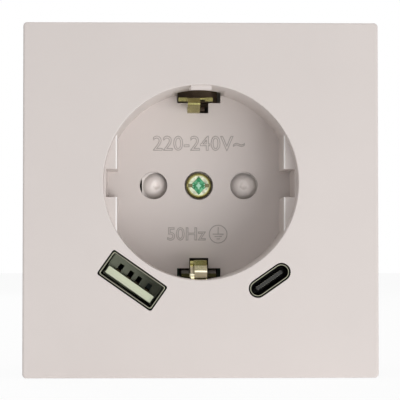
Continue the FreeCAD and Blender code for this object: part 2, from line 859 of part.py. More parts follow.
def make_earth_strap():
    """The brass strap that joins both earth clips and takes the cover screw."""
    bar = block(
        "strap_bar",
        centred("strap_half"),
        ("tray_back", "strap_back"),
        about("axis_height", "strap_reach"),
    )
    boss = rod("strap_boss", "boss_radius", ("tray_back", "strap_boss_back"), z="axis_height")
    through = ("tray_back - overrun", "strap_boss_back + overrun")
    holes = [rod("strap_bore", "strap_bore_radius", through, z="axis_height")]
    holes.extend(
        rod(
            f"strap_rivet_hole_{name}",
            "rivet_radius + slide_play / 2",
            through,
            z=f"axis_height {sign} rivet_reach",
        )
        for name, sign in (("top", "+"), ("bottom", "-"))
    )
    node(cut("strap", fuse("strap_blank", bar, boss), *holes), "earth_strap")


def make_earth_clip(name, angle, mirror):
    """One earth clip: a foot, a wide leg with shoulders, a neck, and a tongue bent back."""
    middle = "tray_back - clip_thickness / 2"
    shoulder = f"floor_front - {name}_shoulder_height"
    bend = f"clip_leg_reach + {name}_clip_bend - clip_thickness / 2"
    bulge = f"clip_leg_reach - {name}_clip_bulge + clip_thickness / 2"
    front = "clip_front + clip_thickness / 2"
    corners = [
        (middle, "clip_foot_reach"),
        (middle, "clip_leg_reach"),
        ("floor_front", "clip_leg_reach"),
        (shoulder, f"clip_leg_reach + {name}_clip_lean"),
        (f"{front} + clip_bow", bend),
        (front, f"{bend} - clip_bow"),
        ("clip_neck_front", bulge),
        ("clip_bulge_back", bulge),
        ("floor_front", "clip_slot_reach"),
        ("clip_tip", "clip_slot_reach"),
    ]
    upright = FreeCAD.Rotation(FreeCAD.Vector(1, 1, 1), 120)
    metal = strip(f"{name}_clip_strip", upright, "clip_thickness", "clip_bar_half * 2", corners)
    offset = f"{mirror} * {name}_clip_offset"
    tongue = f"{mirror} * {name}_tongue_offset"
    ahead = "clip_front - overrun"
    behind = "clip_tip + overrun"
    all_heights = ("0", "strap_reach + overrun")
    low_heights = ("0", "slot_step")
    tips = ("clip_tongue_back", behind)
    trims = (
        ("neck", "0", "clip_neck_half", (ahead, shoulder), all_heights),
        ("bend", tongue, "clip_tongue_half", (ahead, "clip_neck_front"), all_heights),
        ("tongue", tongue, "clip_tongue_half", (ahead, "clip_tongue_back"), low_heights),
        ("end", "0", "clip_neck_half", tips, low_heights),
        ("tip", f"-({offset})", "clip_tip_half", tips, low_heights),
    )
    tools = []
    for trim, across_middle, half, depths, heights in trims:
        near = f"{across_middle} - {half}"
        far = f"{across_middle} - 2 * clip_bar_half"
        tools.append(block(f"{name}_clip_{trim}_left", (far, near), depths, heights))
        near = f"{across_middle} + {half}"
        far = f"{across_middle} + 2 * clip_bar_half"
        tools.append(block(f"{name}_clip_{trim}_right", (near, far), depths, heights))
    tools.append(
        rod(
            f"{name}_clip_hole",
            "rivet_radius + slide_play / 2",
            ("tray_back - clip_thickness - overrun", "tray_back + overrun"),
            f"-({offset})",
            "rivet_reach",
        )
    )
    clip = turned(cut(f"{name}_clip", metal, *tools), angle, "axis_height")
    bind(clip, "Placement.Base.x", f"{name}_clip_offset")
    node(clip, f"earth_clip_{name}")


def make_earth_rivets():
    """The two rivets that hold the clips to the strap."""
    head_back = "tray_back - clip_thickness"
    tail_end = "strap_back + rivet_tail_height"
    rivets = []
    for name, sign in (("top", "+"), ("bottom", "-")):
        height = f"axis_height {sign} rivet_reach"
        head_span = (f"{head_back} - rivet_head_height", head_back)
        parts = [
            rod(f"rivet_head_{name}", "rivet_head_radius", head_span, z=height),
            rod(f"rivet_shank_{name}", "rivet_radius", (head_span[0], tail_end), z=height),
            rod(f"rivet_tail_{name}", "rivet_head_radius", ("strap_back", tail_end), z=height),
        ]
        rivets.append(fuse(f"rivet_{name}", *parts))
    node(group("rivets", *rivets), "earth_rivets")


def make_contact(name, side):
    """A line or neutral contact: slit sleeve, terminal plate and a tab to the power board."""
    place = (f"{side} * pin_across", "axis_height")
    length = ("sleeve_front", "sleeve_back")
    sleeve = rod(f"{name}_sleeve", "sleeve_radius", length, *place)
    plate_x = sided(side, "contact_face", "contact_outside")
    plate = block(
        f"{name}_plate", plate_x, ("contact_front", "sleeve_back"), ("axis_height", "contact_top")
    )
    tab = block(f"{name}_tab", plate_x, ("power_board_back", "tab_back"), ("tab_bottom", "axis_height"))
    beyond = ("sleeve_front - overrun", "sleeve_back + overrun")
    bore = rod(f"{name}_sleeve_bore", "sleeve_bore", beyond, *place)
    slit = block(
        f"{name}_sleeve_slit",
        sided(side, "pin_across - sleeve_radius - overrun", "pin_across"),
        beyond,
        about("axis_height", "sleeve_slit_half"),
    )
    blank = fuse(f"{name}_contact_blank", sleeve, plate, tab)
    node(cut(f"{name}_contact_cut", blank, bore, slit), f"{name}_contact")


def across(terminal, near, far):
    """A span measured from a terminal's wire face towards the wire."""
    face, way = TERMINALS[terminal]
    if way > 0:
        return (f"{face} + ({near})", f"{face} + ({far})")
    return (f"{face} - ({far})", f"{face} - ({near})")


def make_earth_terminal():
    """The angle on the strap that carries the earth wires' contact plate."""
    plate = block(
        "earth_terminal_plate",
        across("earth", "-contact_thickness", "0"),
        ("strap_back", "sleeve_back"),
        about("terminal_middle", "leaf_half"),
    )
    foot = block(
        "earth_terminal_foot",
        across("earth", "-contact_thickness", "terminal_width - slide_play"),
        ("strap_back", "strap_back + contact_thickness"),
        about("terminal_middle", "leaf_half"),
    )
    node(fuse("earth_terminal_angle", plate, foot), "earth_terminal")


def make_clamp_spring(terminal, base_depth):
    """The folded leaf spring of one terminal; its free leg is slit so that each wire has its own."""
    face, way = TERMINALS[terminal]

    def at(reach):
        return f"{face} + {way} * {reach}"

    corners = [
        (at("leaf_base"), f"{base_depth} + leaf_thickness / 2"),
        (at("leaf_base"), "leaf_back_depth - leaf_step"),
        (at("leaf_bend"), "leaf_back_depth"),
        (at("leaf_end"), "leaf_end_depth"),
    ]
    flat = FreeCAD.Rotation()
    leaf = strip(f"{terminal}_leaf", flat, "leaf_thickness", "leaf_half * 2", corners)
    bind(leaf, "Placement.Base.z", "terminal_middle")
    slit = block(
        f"{terminal}_leaf_slit",
        across(terminal, "0", "leaf_bend - leaf_thickness"),
        ("leaf_end_depth - overrun", "leaf_back_depth"),
        about("terminal_middle", "leaf_slit / 2"),
    )
    node(cut(f"{terminal}_leaf_cut", leaf, slit), f"{terminal}_clamp_spring")


def make_release_button(terminal):
    """The button beside the wire entries that frees both wires of a terminal."""
    stem = block(
        f"{terminal}_button_stem",
        across(terminal, "button_near", "button_far"),
        ("button_front", "button_back"),
        about("terminal_middle", "button_half"),
    )
    collar_back = "housing_inside - play"
    collar = block(
        f"{terminal}_button_collar",
        across(terminal, "collar_near", "collar_far"),
        (f"{collar_back} - collar_length", collar_back),
        about("terminal_middle", "collar_half"),
    )
    node(fuse(f"{terminal}_button", stem, collar), f"{terminal}_release_button")


def make_contact_carrier():
    """The insulating block that holds the strap, the contacts and the three terminals."""
    span = ("tray_back", "housing_inside")
    drum = rod("carrier_drum", "inner_radius", span)
    bounds = block(
        "carrier_bounds", centred("carrier_half"), span, ("carrier_bottom", "carrier_top")
    )
    blank = common("carrier_blank", drum, bounds)
    before = "tray_back - overrun"
    behind = "housing_inside + overrun"
    beyond = ("carrier_bottom - overrun", "carrier_top + overrun")
    pockets = [
        block(
            "strap_channel", centred("strap_half + slide_play"), (before, "strap_back"), beyond
        ),
        block(
            "rivet_relief",
            centred("rivet_head_radius + play"),
            (before, "strap_back + rivet_tail_height + play"),
            ("axis_height + rivet_reach - rivet_head_radius - play", beyond[1]),
        ),
        rod("boss_bore", "boss_radius + play", (before, "screw_tip + overrun"), z="axis_height"),
        block(
            "earth_chamber",
            across("earth", "-contact_thickness - slide_play", "terminal_width"),
            (before, behind),
            ("terminal_bottom", "terminal_top"),
        ),
    ]
    for name, side in SIDES.items():
        pockets.append(
            rod(
                f"sleeve_bore_{name}",
                "sleeve_radius + play",
                (before, "sleeve_back + overrun"),
                f"{side} * pin_across",
                "axis_height",
            )
        )
        pockets.append(
            block(
                f"contact_slot_{name}",
                sided(
                    side,
                    "contact_face - slide_play",
                    "contact_outside + slide_play",
                ),
                (before, "sleeve_back + slide_play"),
                (beyond[0], "terminal_top"),
            )
        )
        pockets.append(
            block(
                f"{name}_chamber",
                across(name, "-contact_thickness - slide_play", "terminal_width"),
                ("terminal_front", behind),
                ("terminal_bottom", "terminal_top"),
            )
        )
    node(cut("carrier", blank, *pockets), "contact_carrier")


def make_rear_housing():
    """The round cup in the wall, with wire entries, button slots, posts and snap nubs."""
    cup = rod("cup", "housing_radius", ("0", "housing_back"))
    doc.recompute()
    back = cup.Shape.BoundBox.YMax
    cup = rounded("cup_round", cup, "housing_edge", lambda edge: lies_at(edge, back))
    space = rod("cup_space", "housing_inner", ("-overrun", "housing_inside"))
    ledge_span = ("lid_thickness", "lid_thickness + ledge_length")
    ledge_disc = rod("ledge_disc", "housing_radius - housing_wall / 2", ledge_span)
    whole = ("0", "housing_back")
    ledge_ring = cut("ledge_ring", ledge_disc, rod("ledge_hole", "ledge_radius", whole))
    long, wide = centred("housing_radius"), centred("ledge_half")
    level = block("ledge_level", long, whole, wide)
    upright = block("ledge_upright", wide, whole, long)
    ledge_cross = fuse("ledge_cross", level, upright)
    pieces = [cut("cup_shell", cup, space), common("ledges", ledge_ring, ledge_cross)]
    for number, angle in enumerate(QUARTERS):
        nub = block(
            f"nub_{number}",
            ("housing_radius - housing_wall / 2", "nub_reach"),
            ("nub_start", "nub_end"),
            centred("nub_half"),
        )
        pieces.append(turned(group(f"nub_placed_{number}", nub), angle))
    for number, sign in enumerate(("-", "")):
        pieces.append(
            rod(
                f"board_post_{number}",
                "board_post_radius",
                ("power_board_back", "housing_inside + housing_back_wall / 2"),
                f"{sign}board_post_across",
                "board_post_height",
            )
        )
    through = ("housing_inside - overrun", "housing_back + overrun")
    openings = []
    for terminal, (face, way) in TERMINALS.items():
        for number, sign in enumerate(("-", "+")):
            openings.append(
                rod(
                    f"wire_entry_{terminal}_{number}",
                    "wire_hole_radius",
                    through,
                    f"{face} + {way} * wire_across",
                    f"terminal_middle {sign} wire_spread",
                )
            )
        openings.append(
            block(
                f"button_slot_{terminal}",
                across(terminal, "button_near - button_play", "button_far + button_play"),
                through,
                about("terminal_middle", "button_half + button_play"),
            )
        )
    node(cut("housing", fuse("housing_blank", *pieces), *openings), "rear_housing")


def make_insert_front():
    """The disc that closes the housing around the recess, with pegs for the port board."""
    disc = rod("lid_disc", "inner_radius", ("0", "lid_thickness"))
    through = ("-overrun", "lid_thickness + overrun")
    wide = wide_outline(
        "lid_wide_hole", "wide_hole_length", "wide_hole_height", through, "wide_port_corner"
    )
    small = small_outline("lid_small_hole", "small_hole_length", "small_hole_height", through)
    holes = [
        rod("lid_hole", "lid_hole_radius", through, z="axis_height"),
        turned(group("lid_wide_hole_placed", wide), "port_angle", "axis_height"),
        turned(group("lid_small_hole_placed", small), "-port_angle", "axis_height"),
    ]
    lid = cut("lid_plate", disc, *holes)
    peg_span = ("lid_thickness / 2", "port_board_front")
    pegs = []
    angles = {"right": "side_peg_angle", "bottom": "90", "left": "180 - side_peg_angle"}
    for name, angle in angles.items():
        peg = rod(f"peg_{name}", "peg_radius", peg_span, "peg_reach")
        pegs.append(turned(group(f"peg_{name}_placed", peg), angle))
    node(fuse("lid", lid, *pegs), "insert_front")


def make_support_ring():
    """The steel ring on the wall, with slots for box screws and tabs that hold the housing."""
    half = "ring_half"
    short = "ring_half - ring_corner"
    corners = [
        (f"-({half})", f"-({short})"),
        (f"-({short})", f"-({half})"),
        (short, f"-({half})"),
        (half, f"-({short})"),
        (half, short),
        (short, half),
        (f"-({short})", half),
        (f"-({half})", short),
    ]
    flat_ring = slab("ring_sheet", ("-ring_thickness", "0"), corners)
    tabs = []
    through = ("-ring_thickness - overrun", "overrun")
    openings = [rod("ring_hole", "ring_opening", through)]
    for number, angle in enumerate(QUARTERS):
        span = ("-ring_thickness", "tab_length")
        reach = ("ring_opening", "tab_outer + overrun")
        outer = rod(f"tab_outer_{number}", "tab_outer", span)
        inner = rod(f"tab_inner_{number}", "tab_inner", (through[0], "tab_length + overrun"))
        width = block(f"tab_width_{number}", reach, span, centred("tab_half"))
        curved = common(f"tab_curved_{number}", cut(f"tab_tube_{number}", outer, inner), width)
        window = block(
            f"tab_window_{number}",
            reach,
            ("nub_start - nub_play", "nub_end + nub_play"),
            centred("nub_half + nub_play"),
        )
        tabs.append(turned(cut(f"tab_{number}", curved, window), angle))
        relief = block(
            f"relief_{number}",
            ("tab_outer", "relief_reach"),
            through,
            centred("relief_half"),
        )
        openings.append(turned(group(f"relief_placed_{number}", relief), angle))
    for number in range(4):
        run = "(box_slot_length / 2 - box_slot_half)"
        shape = [
            block(
                f"slot_middle_{number}",
                about("box_screw_reach", run),
                through,
                centred("box_slot_half"),
            ),
            rod(f"slot_near_{number}", "box_slot_half", through, f"box_screw_reach - {run}"),
            rod(f"slot_far_{number}", "box_slot_half", through, f"box_screw_reach + {run}"),
        ]
        openings.append(turned(fuse(f"box_slot_{number}", *shape), number * 90))
    pierced = cut("ring_pierced", flat_ring, *openings)
    node(fuse("ring", pierced, *tabs), "support_ring")


def make_wide_port():
    """The wide charging port: a folded shell, its insulator and four leads."""
    shell_span = ("port_front", "port_board_front")
    outer = wide_outline(
        "wide_shell_outer", "wide_port_length", "wide_port_height", shell_span, "wide_port_corner"
    )
    inner = block(
        "wide_shell_inner",
        centred("wide_port_length / 2 - sheet_wall"),
        ("port_front - overrun", "port_board_front + overrun"),
        about("-port_radius", "wide_port_height / 2 - sheet_wall"),
    )
    inner = rounded("wide_shell_inner_round", inner, "sheet_wall", runs_in_depth)
    shell = turned(cut("wide_shell", outer, inner), "port_angle", "axis_height")
    node(shell, "usb_a_shell")

    rear = block(
        "wide_rear",
        centred("wide_port_length / 2 - sheet_wall - slide_play"),
        ("port_block_front", "port_board_front"),
        about("-port_radius", "wide_port_height / 2 - sheet_wall - slide_play"),
    )
    tongue = block(
        "wide_tongue",
        centred("tongue_half"),
        ("tongue_front", "port_block_front"),
        ("-port_radius - tongue_low", "-port_radius - tongue_high"),
    )
    channels = []
    leads = []
    places = ("-lead_pitch_outer", "-lead_pitch_inner", "lead_pitch_inner", "lead_pitch_outer")
    for number, place in enumerate(places):
        channels.append(
            block(
                f"lead_channel_{number}",
                about(place, "lead_half"),
                ("port_block_front", "port_board_front + overrun"),
                ("-port_radius - tongue_high", "-port_radius + lead_channel_top"),
            )
        )
        leads.append(
            block(
                f"lead_{number}",
                about(place, "lead_half"),
                ("lead_front", "port_board_front"),
                ("-port_radius - tongue_high", "-port_radius - tongue_high + lead_thickness"),
            )
        )
    insulator = cut("wide_insulator", fuse("wide_insulator_blank", rear, tongue), *channels)
    node(turned(insulator, "port_angle", "axis_height"), "usb_a_insulator")
    node(turned(group("wide_leads", *leads), "port_angle", "axis_height"), "usb_a_contacts")


def make_small_port():
    """The small charging port: a drawn shell, its tongue and two rows of contact pads."""
    outer = small_outline(
        "small_shell_outer",
        "small_port_length",
        "small_port_height",
        ("port_front", "port_board_front"),
    )
    inner = small_outline(
        "small_shell_inner",
        "(small_port_length - 2 * sheet_wall)",
        "(small_port_height - 2 * sheet_wall)",
        ("port_front - overrun", "port_board_front + overrun"),
    )
    shell = turned(cut("small_shell", outer, inner), "-port_angle", "axis_height")
    node(shell, "usb_c_shell")

    rear = small_outline(
        "small_rear",
        "(small_port_length - 2 * sheet_wall - 2 * slide_play)",
        "(small_port_height - 2 * sheet_wall - 2 * slide_play)",
        ("port_block_front", "port_board_front"),
    )
    tongue = block(
        "small_tongue",
        centred("small_tongue_half"),
        ("small_tongue_front", "port_block_front"),
        about("-port_radius", "small_tongue_thickness / 2"),
    )
    insulator = turned(fuse("small_insulator", rear, tongue), "-port_angle", "axis_height")
    node(insulator, "usb_c_tongue")

    pads = []
    for row, sign in (("upper", 1), ("lower", -1)):
        near = "small_tongue_thickness / 2"
        far = "small_tongue_thickness / 2 + small_pad_thickness"
        low, high = sided(sign, near, far)
        for number in range(PADS_PER_ROW):
            middle = f"({number} - ({PADS_PER_ROW} - 1) / 2) * small_pad_pitch"
            pads.append(
                block(
                    f"pad_{row}_{number}",
                    about(middle, "small_pad_width / 2"),
                    ("small_pad_front", "small_pad_back"),
                    (f"-port_radius + {low}", f"-port_radius + {high}"),
                )
            )
    node(turned(group("small_pads", *pads), "-port_angle", "axis_height"), "usb_c_contacts")


def make_boards():
    """The crescent board that carries the ports, the power board and the pins between them."""
    span = ("port_board_front", "port_board_back")
    disc = rod("port_board_disc", "board_radius", span)
    beyond = ("port_board_front - overrun", "port_board_back + overrun")
    cuts = [
        rod("port_board_cut", "lid_hole_radius", beyond, z="axis_height"),
        block(
            "port_board_above",
            centred("board_radius + overrun"),
            beyond,
            ("port_board_top", "board_radius + overrun"),
        ),
    ]
    node(cut("port_board_crescent", disc, *cuts), "port_board")

    span = ("power_board_front", "power_board_back")
    disc = rod("power_board_disc", "board_radius", span)
    below = block(
        "power_board_below",
        centred("board_radius + overrun"),
        span,
        ("-board_radius - overrun", "power_board_top"),
    )
    node(common("power_board_segment", disc, below), "power_board")

    header = block(
        "header",
        ("header_left", "header_right"),
        ("port_board_back", "power_board_front"),
        ("header_bottom", "header_top"),
    )
    node(header, "board_header")


def make_board_parts():
    """What stands on the back of the power board."""
    start = "power_board_back"
    core_end = f"{start} + core_length"
    limbs = (f"{start} + core_limb", f"{core_end} - core_limb")
    rows = about("core_height", "core_half_height")
    beyond = about("core_height", "core_half_height + overrun")
    frame = block("core_frame", centred("core_half"), (start, core_end), rows)
    window = block("core_window", centred("core_half - core_limb"), limbs, beyond)
    middle = block("core_middle", centred("core_middle_half"), (start, core_end), rows)
    core = fuse("core", cut("core_open", frame, window), middle)
    node(core, "transformer_core")

    inside = (f"{limbs[0]} + slide_play", f"{limbs[1]} - slide_play")
    winding = block(
        "winding",
        centred("coil_half"),
        inside,
        about("core_height", "coil_half_height"),
    )
    winding = rounded("winding_round", winding, "coil_corner", runs_in_depth)
    passage = block(
        "winding_passage",
        centred("core_middle_half + slide_play"),
        (start, core_end),
        about("core_height", "core_half_height + slide_play"),
    )
    node(cut("coil", winding, passage), "transformer_coil")

    for name in ("input_capacitor", "output_capacitor"):
        can = rod(
            f"{name}_can",
            f"{name}_radius",
            (start, f"housing_inside - {name}_back_gap"),
            f"{name}_across",
            f"{name}_height",
        )
        node(can, name)

    chip = block(
        "chip",
        centred("chip_half"),
        (start, f"{start} + chip_thickness"),
        about("chip_height", "chip_half_height"),
    )
    node(chip, "controller_chip")

    rectifier = block(
        "rectifier",
        ("rectifier_left", "rectifier_right"),
        (start, f"{start} + rectifier_thickness"),
        ("rectifier_bottom", "rectifier_top"),
    )
    node(rectifier, "bridge_rectifier")
    node(make_fuse_tube(), "fuse")


def make_fuse_tube():
    """A glass fuse that lies on the power board, with its two end caps."""
    ends = (
        ("tube", "fuse_left", "fuse_right", "fuse_radius - fuse_cap_step"),
        ("left_cap", "fuse_left", "fuse_left + fuse_cap_length", "fuse_radius"),
        ("right_cap", "fuse_right - fuse_cap_length", "fuse_right", "fuse_radius"),
    )
    pieces = []
    for name, low, high, radius in ends:
        piece = doc.addObject("Part::Cylinder", f"fuse_{name}")
        piece.Placement = FreeCAD.Placement(
            FreeCAD.Vector(), FreeCAD.Rotation(FreeCAD.Vector(0, 1, 0), 90)
        )
        bind(piece, "Radius", radius)
        bind(piece, "Height", f"({high}) - ({low})")
        bind_place(piece, low, "power_board_back + fuse_radius", "fuse_height")
        pieces.append(piece)
    return fuse("fuse_body", *pieces)


def check_and_export():
    """Stop at any object that failed, then write every sub-part."""
    doc.recompute()
    failed = [
        thing.Name
        for thing in doc.Objects
        if any(word in thing.State for word in ("Invalid", "Error"))
    ]
    if failed:
        raise RuntimeError(f"objects failed: {failed}")
    for piece in NODES:
        shape = piece.Shape
        if shape.isNull() or not shape.isValid() or not shape.Solids:
            raise RuntimeError(f"{piece.Label} has no valid solid")
        shape.exportStep(f"parts/{piece.Label}.step")
        box = shape.BoundBox
        print(
            f"{piece.Label:24s} solids {len(shape.Solids):2d} faces {len(shape.Faces):4d}"
            f" volume {shape.Volume:9.2f}"
            f"  x {box.XMin:7.2f} {box.XMax:7.2f}  y {box.YMin:7.2f} {box.YMax:7.2f}"
            f"  z {box.ZMin:7.2f} {box.ZMax:7.2f}"
        )


make_cover_plate()
make_cover_screw()
make_shutter_slider()
make_shutter_spring()
make_shutter_tray()
make_earth_strap()
make_earth_clip("top", "0", 1)
make_earth_clip("bottom", "180", -1)
make_earth_rivets()
make_earth_terminal()
for side_name, side_sign in SIDES.items():
    make_contact(side_name, side_sign)
for terminal_name in TERMINALS:
    on_strap = terminal_name == "earth"
    leaf_foot = "strap_back + contact_thickness" if on_strap else "terminal_front"
    make_clamp_spring(terminal_name, leaf_foot)
    make_release_button(terminal_name)
make_contact_carrier()
make_rear_housing()
make_insert_front()
make_support_ring()
make_wide_port()
make_small_port()
make_boards()
make_board_parts()
check_and_export()
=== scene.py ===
import json
import math

import bpy
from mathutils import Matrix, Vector


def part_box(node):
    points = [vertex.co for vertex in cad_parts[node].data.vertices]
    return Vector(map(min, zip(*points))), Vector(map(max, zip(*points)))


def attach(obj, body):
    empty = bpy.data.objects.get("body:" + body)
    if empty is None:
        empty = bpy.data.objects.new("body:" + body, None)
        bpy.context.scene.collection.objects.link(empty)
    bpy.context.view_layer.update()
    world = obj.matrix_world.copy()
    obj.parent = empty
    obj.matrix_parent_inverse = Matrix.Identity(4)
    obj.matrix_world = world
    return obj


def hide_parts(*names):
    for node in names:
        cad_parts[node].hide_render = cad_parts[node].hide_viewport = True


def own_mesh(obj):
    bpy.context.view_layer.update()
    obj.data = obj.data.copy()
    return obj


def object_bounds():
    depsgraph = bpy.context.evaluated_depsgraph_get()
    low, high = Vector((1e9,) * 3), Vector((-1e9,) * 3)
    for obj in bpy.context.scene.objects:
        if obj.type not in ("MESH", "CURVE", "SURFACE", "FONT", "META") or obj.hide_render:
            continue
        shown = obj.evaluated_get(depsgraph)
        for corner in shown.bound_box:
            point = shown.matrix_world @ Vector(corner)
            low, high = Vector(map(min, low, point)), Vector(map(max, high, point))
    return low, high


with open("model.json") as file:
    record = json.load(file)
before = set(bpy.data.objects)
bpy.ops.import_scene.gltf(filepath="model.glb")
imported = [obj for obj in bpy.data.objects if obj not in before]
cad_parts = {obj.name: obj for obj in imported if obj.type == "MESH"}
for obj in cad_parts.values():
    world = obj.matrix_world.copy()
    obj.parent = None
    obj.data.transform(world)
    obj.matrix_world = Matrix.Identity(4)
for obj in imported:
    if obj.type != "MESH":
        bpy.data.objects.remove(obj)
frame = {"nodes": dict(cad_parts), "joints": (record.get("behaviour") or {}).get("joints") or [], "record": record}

CAD_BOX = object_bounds()

bl_info = {
    "name": "Flush Wall Socket",
    "version": (1, 0, 0),
    "blender": (4, 5, 0),
    "location": "3D View > Sidebar > Socket",
    "description": "Dresses the solids of a wall socket: finishes, markings and fine forms",
    "category": "Object",
}

MM = 0.001
# a square metre, in square millimetres
SQUARE_METRE = 1e6
# how far the axis of the recess lies above the middle of the plate
AXIS_HEIGHT = 3.5 * MM

# the camera's place across and up, and the point in the plane of the plate's front that it faces
CAMERA_SIDE = -9.0 * MM
CAMERA_HEIGHT = -10.0 * MM
AIM_SIDE = -0.21 * MM
AIM_HEIGHT = -0.06 * MM
SENSOR_WIDTH = 36.0
NEAREST = 0.01
# each lamp's name, place, side and setting, with the share of the setting that it takes
LAMPS = (
    ("key_lamp", (0.27, -0.42, -0.22), 0.36, "key", 1.0),
    ("top_lamp", (0.0, -0.12, 0.60), 0.5, "top", 1.0),
    ("back_lamp", (-0.2, 0.5, 0.3), 0.4, "top", 0.5),
)
FLOOR_SIDE = 3.0
FLOOR_DROP = 0.0002
FLOOR_GLOW = 0.92

# corners nearer than this merge, in copies of solids and in new pieces, and where faces of a
# copy meet at less than this many degrees they become one
WELD = 0.000002
SEAM = 0.000001
LEVEL = 0.3
# the shading runs smoothly over edges up to this many degrees; the facets round the recess's
# rim need more
SMOOTH = 35.0
SMOOTH_COVER = 75.0
# edges past this many degrees are rounded, on most pieces and on the clips
EDGE_ANGLE = 30.0
CLIP_EDGE_ANGLE = 25.0
LATHE_SIDES = 72

# the flats at both sides of the recess: how far out they stand, and the depth of their fronts
FLAT_REACH = 16.85 * MM
FLAT_DEPTH = -4.9 * MM
FLAT_PLAY = 0.01 * MM
# the painted highlights along their front edges: how far out, in millimetres, between which depths, and half their
# height
EDGE_OUT = (16.78, 17.12)
EDGE_DEPTHS = (-5.05 * MM, -4.72 * MM)
EDGE_HALF = 9.9
# the colour of that painted highlight
EDGE_HIGHLIGHT = (0.97, 0.95, 0.94, 1.0)

# the markings on the recess floor: their depth, and each one's place across and up from the axis
MARKS_DEPTH = 8.5 * MM
RATING_PLACE = (0.0, 8.7 * MM)
FREQUENCY_PLACE = (-2.65 * MM, -10.3 * MM)
FREQUENCY_SHARE = 0.88
EARTH_PLACE = (4.06 * MM, -10.2 * MM)
EARTH_CIRCLE = 1.86 * MM
# the earth sign's strokes, each with its place across and up, its length and whether it stands
EARTH_STROKES = [
    (0.0, 0.75 * MM, 1.5 * MM, True),
    (0.0, 0.0, 2.3 * MM, False),
    (0.0, -0.5 * MM, 1.5 * MM, False),
    (0.0, -1.0 * MM, 0.7 * MM, False),
]

# the pads that close the pin holes slant inwards from their outer edges, left and right
PAD_OUTSIDE = (-11.75 * MM, 12.25 * MM)
PAD_SLOPE = 0.3
PAD_FACE = 0.05 * MM
# what is left between the squeezed spring and the shutter
SPRING_PLAY = 0.05 * MM

# the screw, as pairs of radius and depth behind its face in millimetres, and its thread
HEAD_RINGS = (
    (2.1, 0.0), (2.3, 0.06), (2.5, 0.24), (2.62, 0.5), (2.68, 0.8), (2.68, 1.7), (2.5, 1.9),
    (1.43, 1.9),
)
THREAD_START = 3.0
THREAD_PITCH = 0.6
THREAD_TURNS = 10
THREAD_CREST = 1.43
THREAD_ROOT = 1.12
SCREW_TIP = (0.8, 10.3)
# what is cut into its head: two bars, each with length, width, depth and taper, and a star
SLOT_BAR = (5.0 * MM, 0.72 * MM, 0.55 * MM, 0.95)
CROSS_BAR = (0.9 * MM, 3.6 * MM, 1.2 * MM, 0.4)
STAR_REACH = 2.0 * MM
STAR_DEPTH = 1.25 * MM
STAR_WAIST = 0.66
# the star's size at its mouth and its foot, as shares of its reach, how far it stands out of
# the face, as a share of its depth, and how near to an axis its points lie
STAR_MOUTH = 1.05
STAR_FOOT = 0.3
STAR_ABOVE = 0.1
STAR_POINT = 0.1
# past this share of a bar's depth lies only its far end
FAR_END = 0.9
# its finish: the painted green sheen in the recess behind its face, the olive rim, and the painted shade on the
# ends of the slot
RECESS_START = 0.1 * MM
RECESS_DEPTH = 1.6 * MM
RECESS_RADIUS = 1.88 * MM
RIM_RADIUS = 2.06 * MM
NOTCH_HALF = 0.38 * MM
NOTCH_SPAN = (1.3 * MM, 2.3 * MM)
OLIVE = (0.44, 0.41, 0.13, 1.0)
NOTCH_SHADE = (0.20, 0.185, 0.10, 1.0)

# slanted strips, each with its sides, the depth and height of its front and back lines, and how
# far its lower and upper faces lie above them: one above the top clip's opening, and the neck of
# the bottom clip, which rises from the floor to the shoulders
RAMP_SIDES = (-2.0 * MM, 2.2 * MM)
RAMP_FRONT = (-8.05 * MM, 22.7 * MM)
RAMP_BACK = (-7.45 * MM, 22.05 * MM)
RAMP_FACES = (0.0, 0.9 * MM)
NECK_SIDES = (-1.9 * MM, 1.7 * MM)
NECK_FRONT = (-1.5 * MM, -16.0 * MM)
NECK_BACK = (8.3 * MM, -12.3 * MM)
NECK_FACES = (-0.3 * MM, 0.0)

# the clips' painted light: where painted shade starts and over what depth, the painted shade on the strip beside
# the top clip's tongue, the top clip's bar, and the bottom clip's tongue with its painted highlight and the
# painted shade on the shoulders beside its neck
SHADE_FROM = 7.5 * MM
SHADE_OVER = 1.5 * MM
TAIL_DEPTH = 6.3 * MM
BAR_TOP = 20.5 * MM
TONGUE_TOP = -13.2 * MM
TONGUE_RIGHT = 1.4 * MM
TONGUE_EDGE = -1.25 * MM
NECK_SPAN = (-2.0 * MM, 1.45 * MM)
# painted shade far in the socket, painted highlight on the bottom tongue, painted shade on its shoulders, and
# brown painted shade above the top clip's bar
BRASS_SHADE = (0.048, 0.034, 0.024)
BRASS_HIGHLIGHT = (1.0, 0.95, 0.72, 1.0)
SHOULDER_SHADE = (0.035, 0.031, 0.012, 1.0)
BROWN_SHADE = (0.30, 0.21, 0.14, 1.0)

# the line and neutral contacts are painted with shade in front of this depth
CONTACT_SHADE_DEPTH = 15.2 * MM
CONTACT_SHADE = (0.015, 0.012, 0.008, 1.0)
# a highlight is painted along the port shells' front edges over this depth
HIGHLIGHT_OVER = 0.025 * MM
# the capacitors: how far below the origin the stripe on their sleeves starts, and the depth
# from which they are bare metal
STRIPE_FROM = 15.5 * MM
SLEEVE_END = 31.2 * MM
# the rounding on the wide port's tongue
TONGUE_ROUNDING = 0.00008

# how much lighter the pads are than the cover, partly a whiter plastic and partly painted highlight, and how much
# darker the markings are, as painted shade
PAD_PAINTED_LIGHT = 1.45
MARK_PAINTED_SHADE = 0.62

